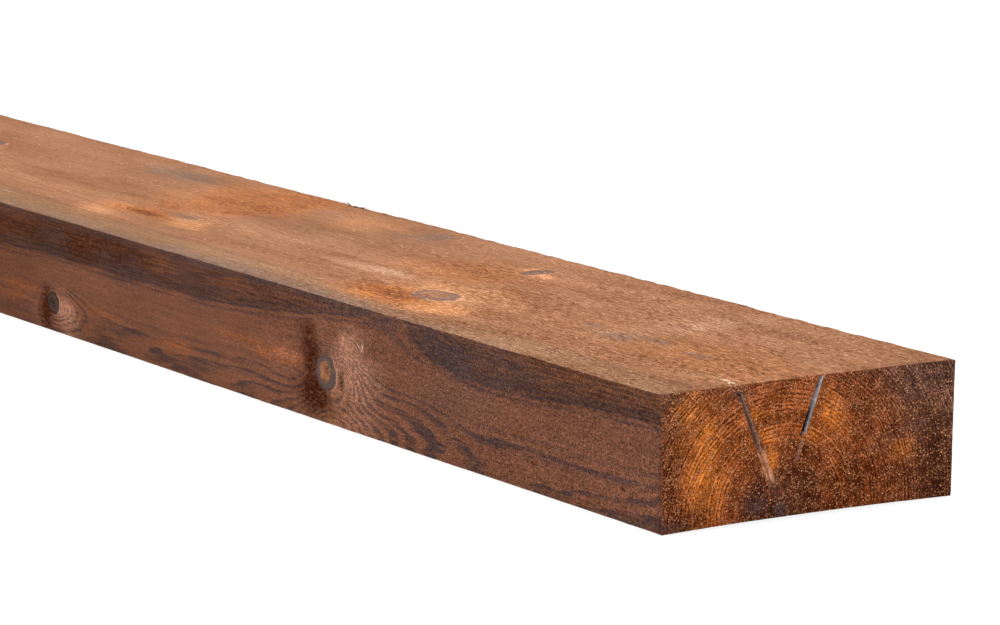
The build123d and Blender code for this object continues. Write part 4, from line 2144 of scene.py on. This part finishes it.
@dataclass
class RaisedFibres:
    """The fibres that the saw tore loose and left lying on the long faces.

    Each is a slim closed splinter with five points: its root, its tip and a three-cornered waist
    between them.

    Attributes:
        sleeper: the timber that they lie on.
        fields: where they lie.
        half_width: thinnest and thickest half width.
        turn: spread of their directions about the grain, in radians.
        lift: least and most rise of a tip for its length.
        waist: place of the waist between root and tip.
        margin: least distance inside the sawn block.
        sunk: how deep the roots lie in the wood, and the least room above them.
        tip_room: share of the room above it to which a tip may rise.
        ridge_room: share of that room to which the waist may rise.
        flank: how high the waist's two lower corners lie, as a share of its ridge.
        seed: of the random numbers.
    """

    sleeper: SleeperMesh
    fields: tuple[FibreField, ...] = FIBRE_FIELDS
    half_width: tuple[float, float] = (0.16, 0.34)
    turn: float = 0.16
    lift: tuple[float, float] = (0.02, 0.16)
    waist: float = 0.4
    margin: float = 0.02
    sunk: float = 0.05
    tip_room: float = 0.8
    ridge_room: float = 0.9
    flank: float = 0.2
    seed: int = 7

    def splinters(self, field: FibreField, random: np.random.Generator) -> tuple[Array, Array]:
        """Points and tones of one field's splinters.

        The root lies on the worn surface, and the tip is a length away along the grain, turned a little
        across it and lifted a little off it, but less than the room that is left under the sawn block's
        own face. The waist is a flat triangle across that line.

        Args:
            field: the field.
            random: source of random numbers.

        Returns:
            An (n, 5, 3) array of points in the sawyer's frame and an (n,) array of tones.
        """
        count = field.count
        timber = self.sleeper.timber
        roots = np.stack([
            timber.on_face(field.face, x, across)
            for x, across in zip(random.uniform(*field.x, count), random.uniform(*field.across, count))
        ])
        out = -INWARD[field.face]
        way = random.choice((-1.0, 1.0), count)
        turn = random.normal(0.0, self.turn, count) + field.slant
        across_grain = np.cross(out, ALONG_GRAIN)
        grain = np.outer(way * np.cos(turn), ALONG_GRAIN) + np.outer(np.sin(turn), across_grain)
        reach = random.uniform(*field.length, count)[:, None]
        rise = random.uniform(*self.lift, count)[:, None]
        width = field.stout * random.uniform(*self.half_width, count)[:, None]
        root = self.sleeper.surface(roots) - self.sunk * out
        low = np.array([-timber.length, 0.0, 0.0]) + self.margin
        high = np.array([0.0, timber.width, timber.thickness]) - self.margin
        room = np.maximum((np.where(out > 0.0, high, low) - root) @ out, self.sunk)[:, None]
        tip = root + reach * grain + np.minimum(rise * reach, self.tip_room * room) * out
        ridge = np.minimum(width, self.ridge_room * room) * out
        middle = root + self.waist * (tip - root)
        side = width * np.cross(out, grain)
        flank = middle + self.flank * ridge
        points = np.stack([root, tip, flank + side, middle + ridge, flank - side], axis=1)
        return np.clip(points, low, high), random.uniform(*field.tone, count)

    def build(self) -> bpy.types.Object:
        """Makes one mesh of all the splinters, with a bake map by tone.

        The map's first number is the splinter's tone and its second runs from root to tip, so that
        splinters of one tone share a place on it.

        Returns:
            The object, standing where the CAD node stands.
        """
        random = np.random.default_rng(self.seed)
        parts = [self.splinters(field, random) for field in self.fields]
        points = np.concatenate([places for places, _ in parts])
        tones = np.concatenate([tone for _, tone in parts])
        corners = np.array([(2, 3, 1), (3, 4, 1), (4, 2, 1), (3, 2, 0), (4, 3, 0), (2, 4, 0)])
        faces = (np.arange(len(points))[:, None, None] * 5 + corners).reshape(-1, 3)
        mesh = bpy.data.meshes.new("raised_fibres")
        places_m = self.sleeper.timber.to_part_m(points.reshape(-1, 3))
        mesh.from_pydata(places_m.tolist(), [], faces.tolist())
        shift = np.array([(0.0, 0.1), (0.0, 0.9), (-0.01, 0.45), (0.0, 0.5), (0.01, 0.55)])
        along = 0.02 + 0.96 * tones
        places = np.stack([along, np.zeros_like(along)], axis=1)[:, None, :] + shift
        uv = mesh.uv_layers.new(name=BAKE_MAP)
        uv.uv.foreach_set("vector", places.reshape(-1, 2)[faces].astype(np.float32).ravel())
        fibres = bpy.data.objects.new("raised_fibres", mesh)
        bpy.context.scene.collection.objects.link(fibres)
        return fibres


@dataclass(frozen=True)
class TornFibre:
    """Loose fibres: stained brown where they were outside, bare and pale where they tore.

    Attributes:
        tones: place on the tone map and colour.
        root_shade: darkness at the root.
        root_end: place along the fibre at which that darkness starts and ends.
        roughness: of dry fibre.
        specular: how little it shines.
    """

    tones: tuple[tuple[float, Colour], ...] = (
        (0.0, srgb(104, 58, 36)), (0.4, srgb(168, 106, 74)), (0.75, srgb(206, 148, 108)),
        (1.0, srgb(255, 228, 200)),
    )
    root_shade: float = 0.75
    root_end: tuple[float, float] = (0.1, 0.5)
    roughness: float = 0.8
    specular: float = 0.05

    def material(self) -> bpy.types.Material:
        """Builds the material, which reads tone and place along the fibre from the piece's map.

        Returns:
            The material.
        """
        material = bpy.data.materials.new("torn_fibre")
        graph = Graph.of(material)
        node = graph.node("UVMap")
        node.uv_map = BAKE_MAP
        tone, along = (graph.part(node.outputs["UV"], axis) for axis in "XY")
        shade = graph.step(along, *self.root_end, self.root_shade, 1.0)
        graph.surface(graph.made("BsdfPrincipled", {
            "Base Color": graph.scale(graph.ramp(tone, 1.0, self.tones), shade),
            "Roughness": self.roughness, "Specular IOR Level": self.specular,
        }))
        return material


@dataclass(frozen=True)
class Studio:
    """Floor, light and camera, in metres in the part's frame.

    Attributes:
        floor_half: half side of the square floor.
        floor_gap: how far the floor lies below the bed.
        floor_colour: colour of the floor as light falls on it.
        floor_glow: level of the white that the camera sees there.
        floor_share: how much of that white is seen.
        ambient: level of the soft light from all round.
        top_power: watts of the overhead lamp.
        end_power: watts of the lamp in front of the checked end.
        lens_mm: focal length.
        sensor_mm: width of the sensor.
        eye: place of the camera.
        right, down, ahead: the camera's axes.
    """

    floor_half: float = 12.0
    floor_gap: float = 0.0004
    floor_colour: Colour = (0.6, 0.6, 0.6)
    floor_glow: float = 1.36
    floor_share: float = 0.65
    ambient: float = 0.36
    top_power: float = 104.0
    end_power: float = 23.0
    lens_mm: float = 176.245
    sensor_mm: float = 36.0
    eye: Triple = (3.98687, -1.91090, 0.73265)
    right: Triple = (0.51224, 0.85881, -0.00736)
    down: Triple = (0.14332, -0.09392, -0.98521)
    ahead: Triple = (-0.84680, 0.50361, -0.17119)

    def build(self) -> None:
        """Makes everything round the sleeper."""
        self.floor()
        self.lamp("overhead", (0.3, 0.2, 3.0), (0.3, 0.2, 0.0), 3.0, self.top_power)
        self.lamp("end_lamp", (4.2, 0.6, 1.4), (1.2, 0.0, 0.05), 1.6, self.end_power)
        self.world()
        self.camera()

    def floor(self) -> None:
        """A pale floor that shows white to the camera, but for the sleeper's soft shadow."""
        half = self.floor_half
        mesh = bpy.data.meshes.new("floor")
        corners = [(-half, -half, 0.0), (half, -half, 0.0), (half, half, 0.0), (-half, half, 0.0)]
        mesh.from_pydata(corners, [], [(0, 1, 2, 3)])
        floor = bpy.data.objects.new("floor", mesh)
        floor.location.z = -self.floor_gap
        bpy.context.scene.collection.objects.link(floor)
        material = bpy.data.materials.new("pale_floor")
        graph = Graph.of(material)
        pale = graph.made("BsdfDiffuse", {"Color": self.floor_colour})
        glow = graph.made("Emission", {"Color": WHITE, "Strength": self.floor_glow})
        graph.surface(graph.by_view(pale, glow, self.floor_share))
        mesh.materials.append(material)

    def lamp(self, name: str, place: Triple, target: Triple, size: float, power: float) -> None:
        """A square soft lamp.

        Args:
            name: its name.
            place: where it hangs.
            target: what it points at.
            size: its side.
            power: its watts.
        """
        data = bpy.data.lights.new(name, "AREA")
        data.shape = "SQUARE"
        data.size = size
        data.energy = power
        lamp = bpy.data.objects.new(name, data)
        lamp.location = place
        aim = Vector(target) - Vector(place)
        lamp.rotation_euler = aim.to_track_quat("-Z", "Y").to_euler()
        bpy.context.scene.collection.objects.link(lamp)

    def world(self) -> None:
        """White to the camera and in reflections, a softer grey as light."""
        world = bpy.data.worlds.new("studio")
        bpy.context.scene.world = world
        graph = Graph.of(world)
        soft = graph.made("Background", {"Color": WHITE, "Strength": self.ambient})
        white = graph.made("Background", {"Color": WHITE, "Strength": 1.0})
        graph.surface(graph.by_view(soft, white), "OutputWorld")

    def camera(self) -> None:
        """A long lens that stands as the photo's did."""
        data = bpy.data.cameras.new("camera")
        data.lens = self.lens_mm
        data.sensor_width = self.sensor_mm
        data.clip_end = 100.0
        camera = bpy.data.objects.new("camera", data)
        matrix = np.eye(4)
        matrix[:3, :3] = np.array([self.right, np.negative(self.down), np.negative(self.ahead)]).T
        matrix[:3, 3] = self.eye
        camera.matrix_world = Matrix(matrix.tolist())
        bpy.context.scene.collection.objects.link(camera)
        bpy.context.scene.camera = camera


def main() -> None:
    """Builds the dressed sleeper and its studio."""
    logging.basicConfig(level=logging.INFO, format="%(name)s: %(message)s")
    growth = Growth(Timber.from_node(NODE))
    shape = SleeperMesh(growth)
    sleeper = shape.build()
    sleeper.data.materials.append(StainedSoftwood().material(growth))
    fibres = RaisedFibres(shape).build()
    fibres.data.materials.append(TornFibre().material())
    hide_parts(NODE)
    for piece in (sleeper, fibres):
        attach(piece, BODY)
        LOG.info("%s: %d points, %d faces", piece.name, len(piece.data.vertices), len(piece.data.polygons))
    bpy.context.scene.view_settings.view_transform = "Standard"
    Studio().build()


if __name__ == "__main__":
    main()
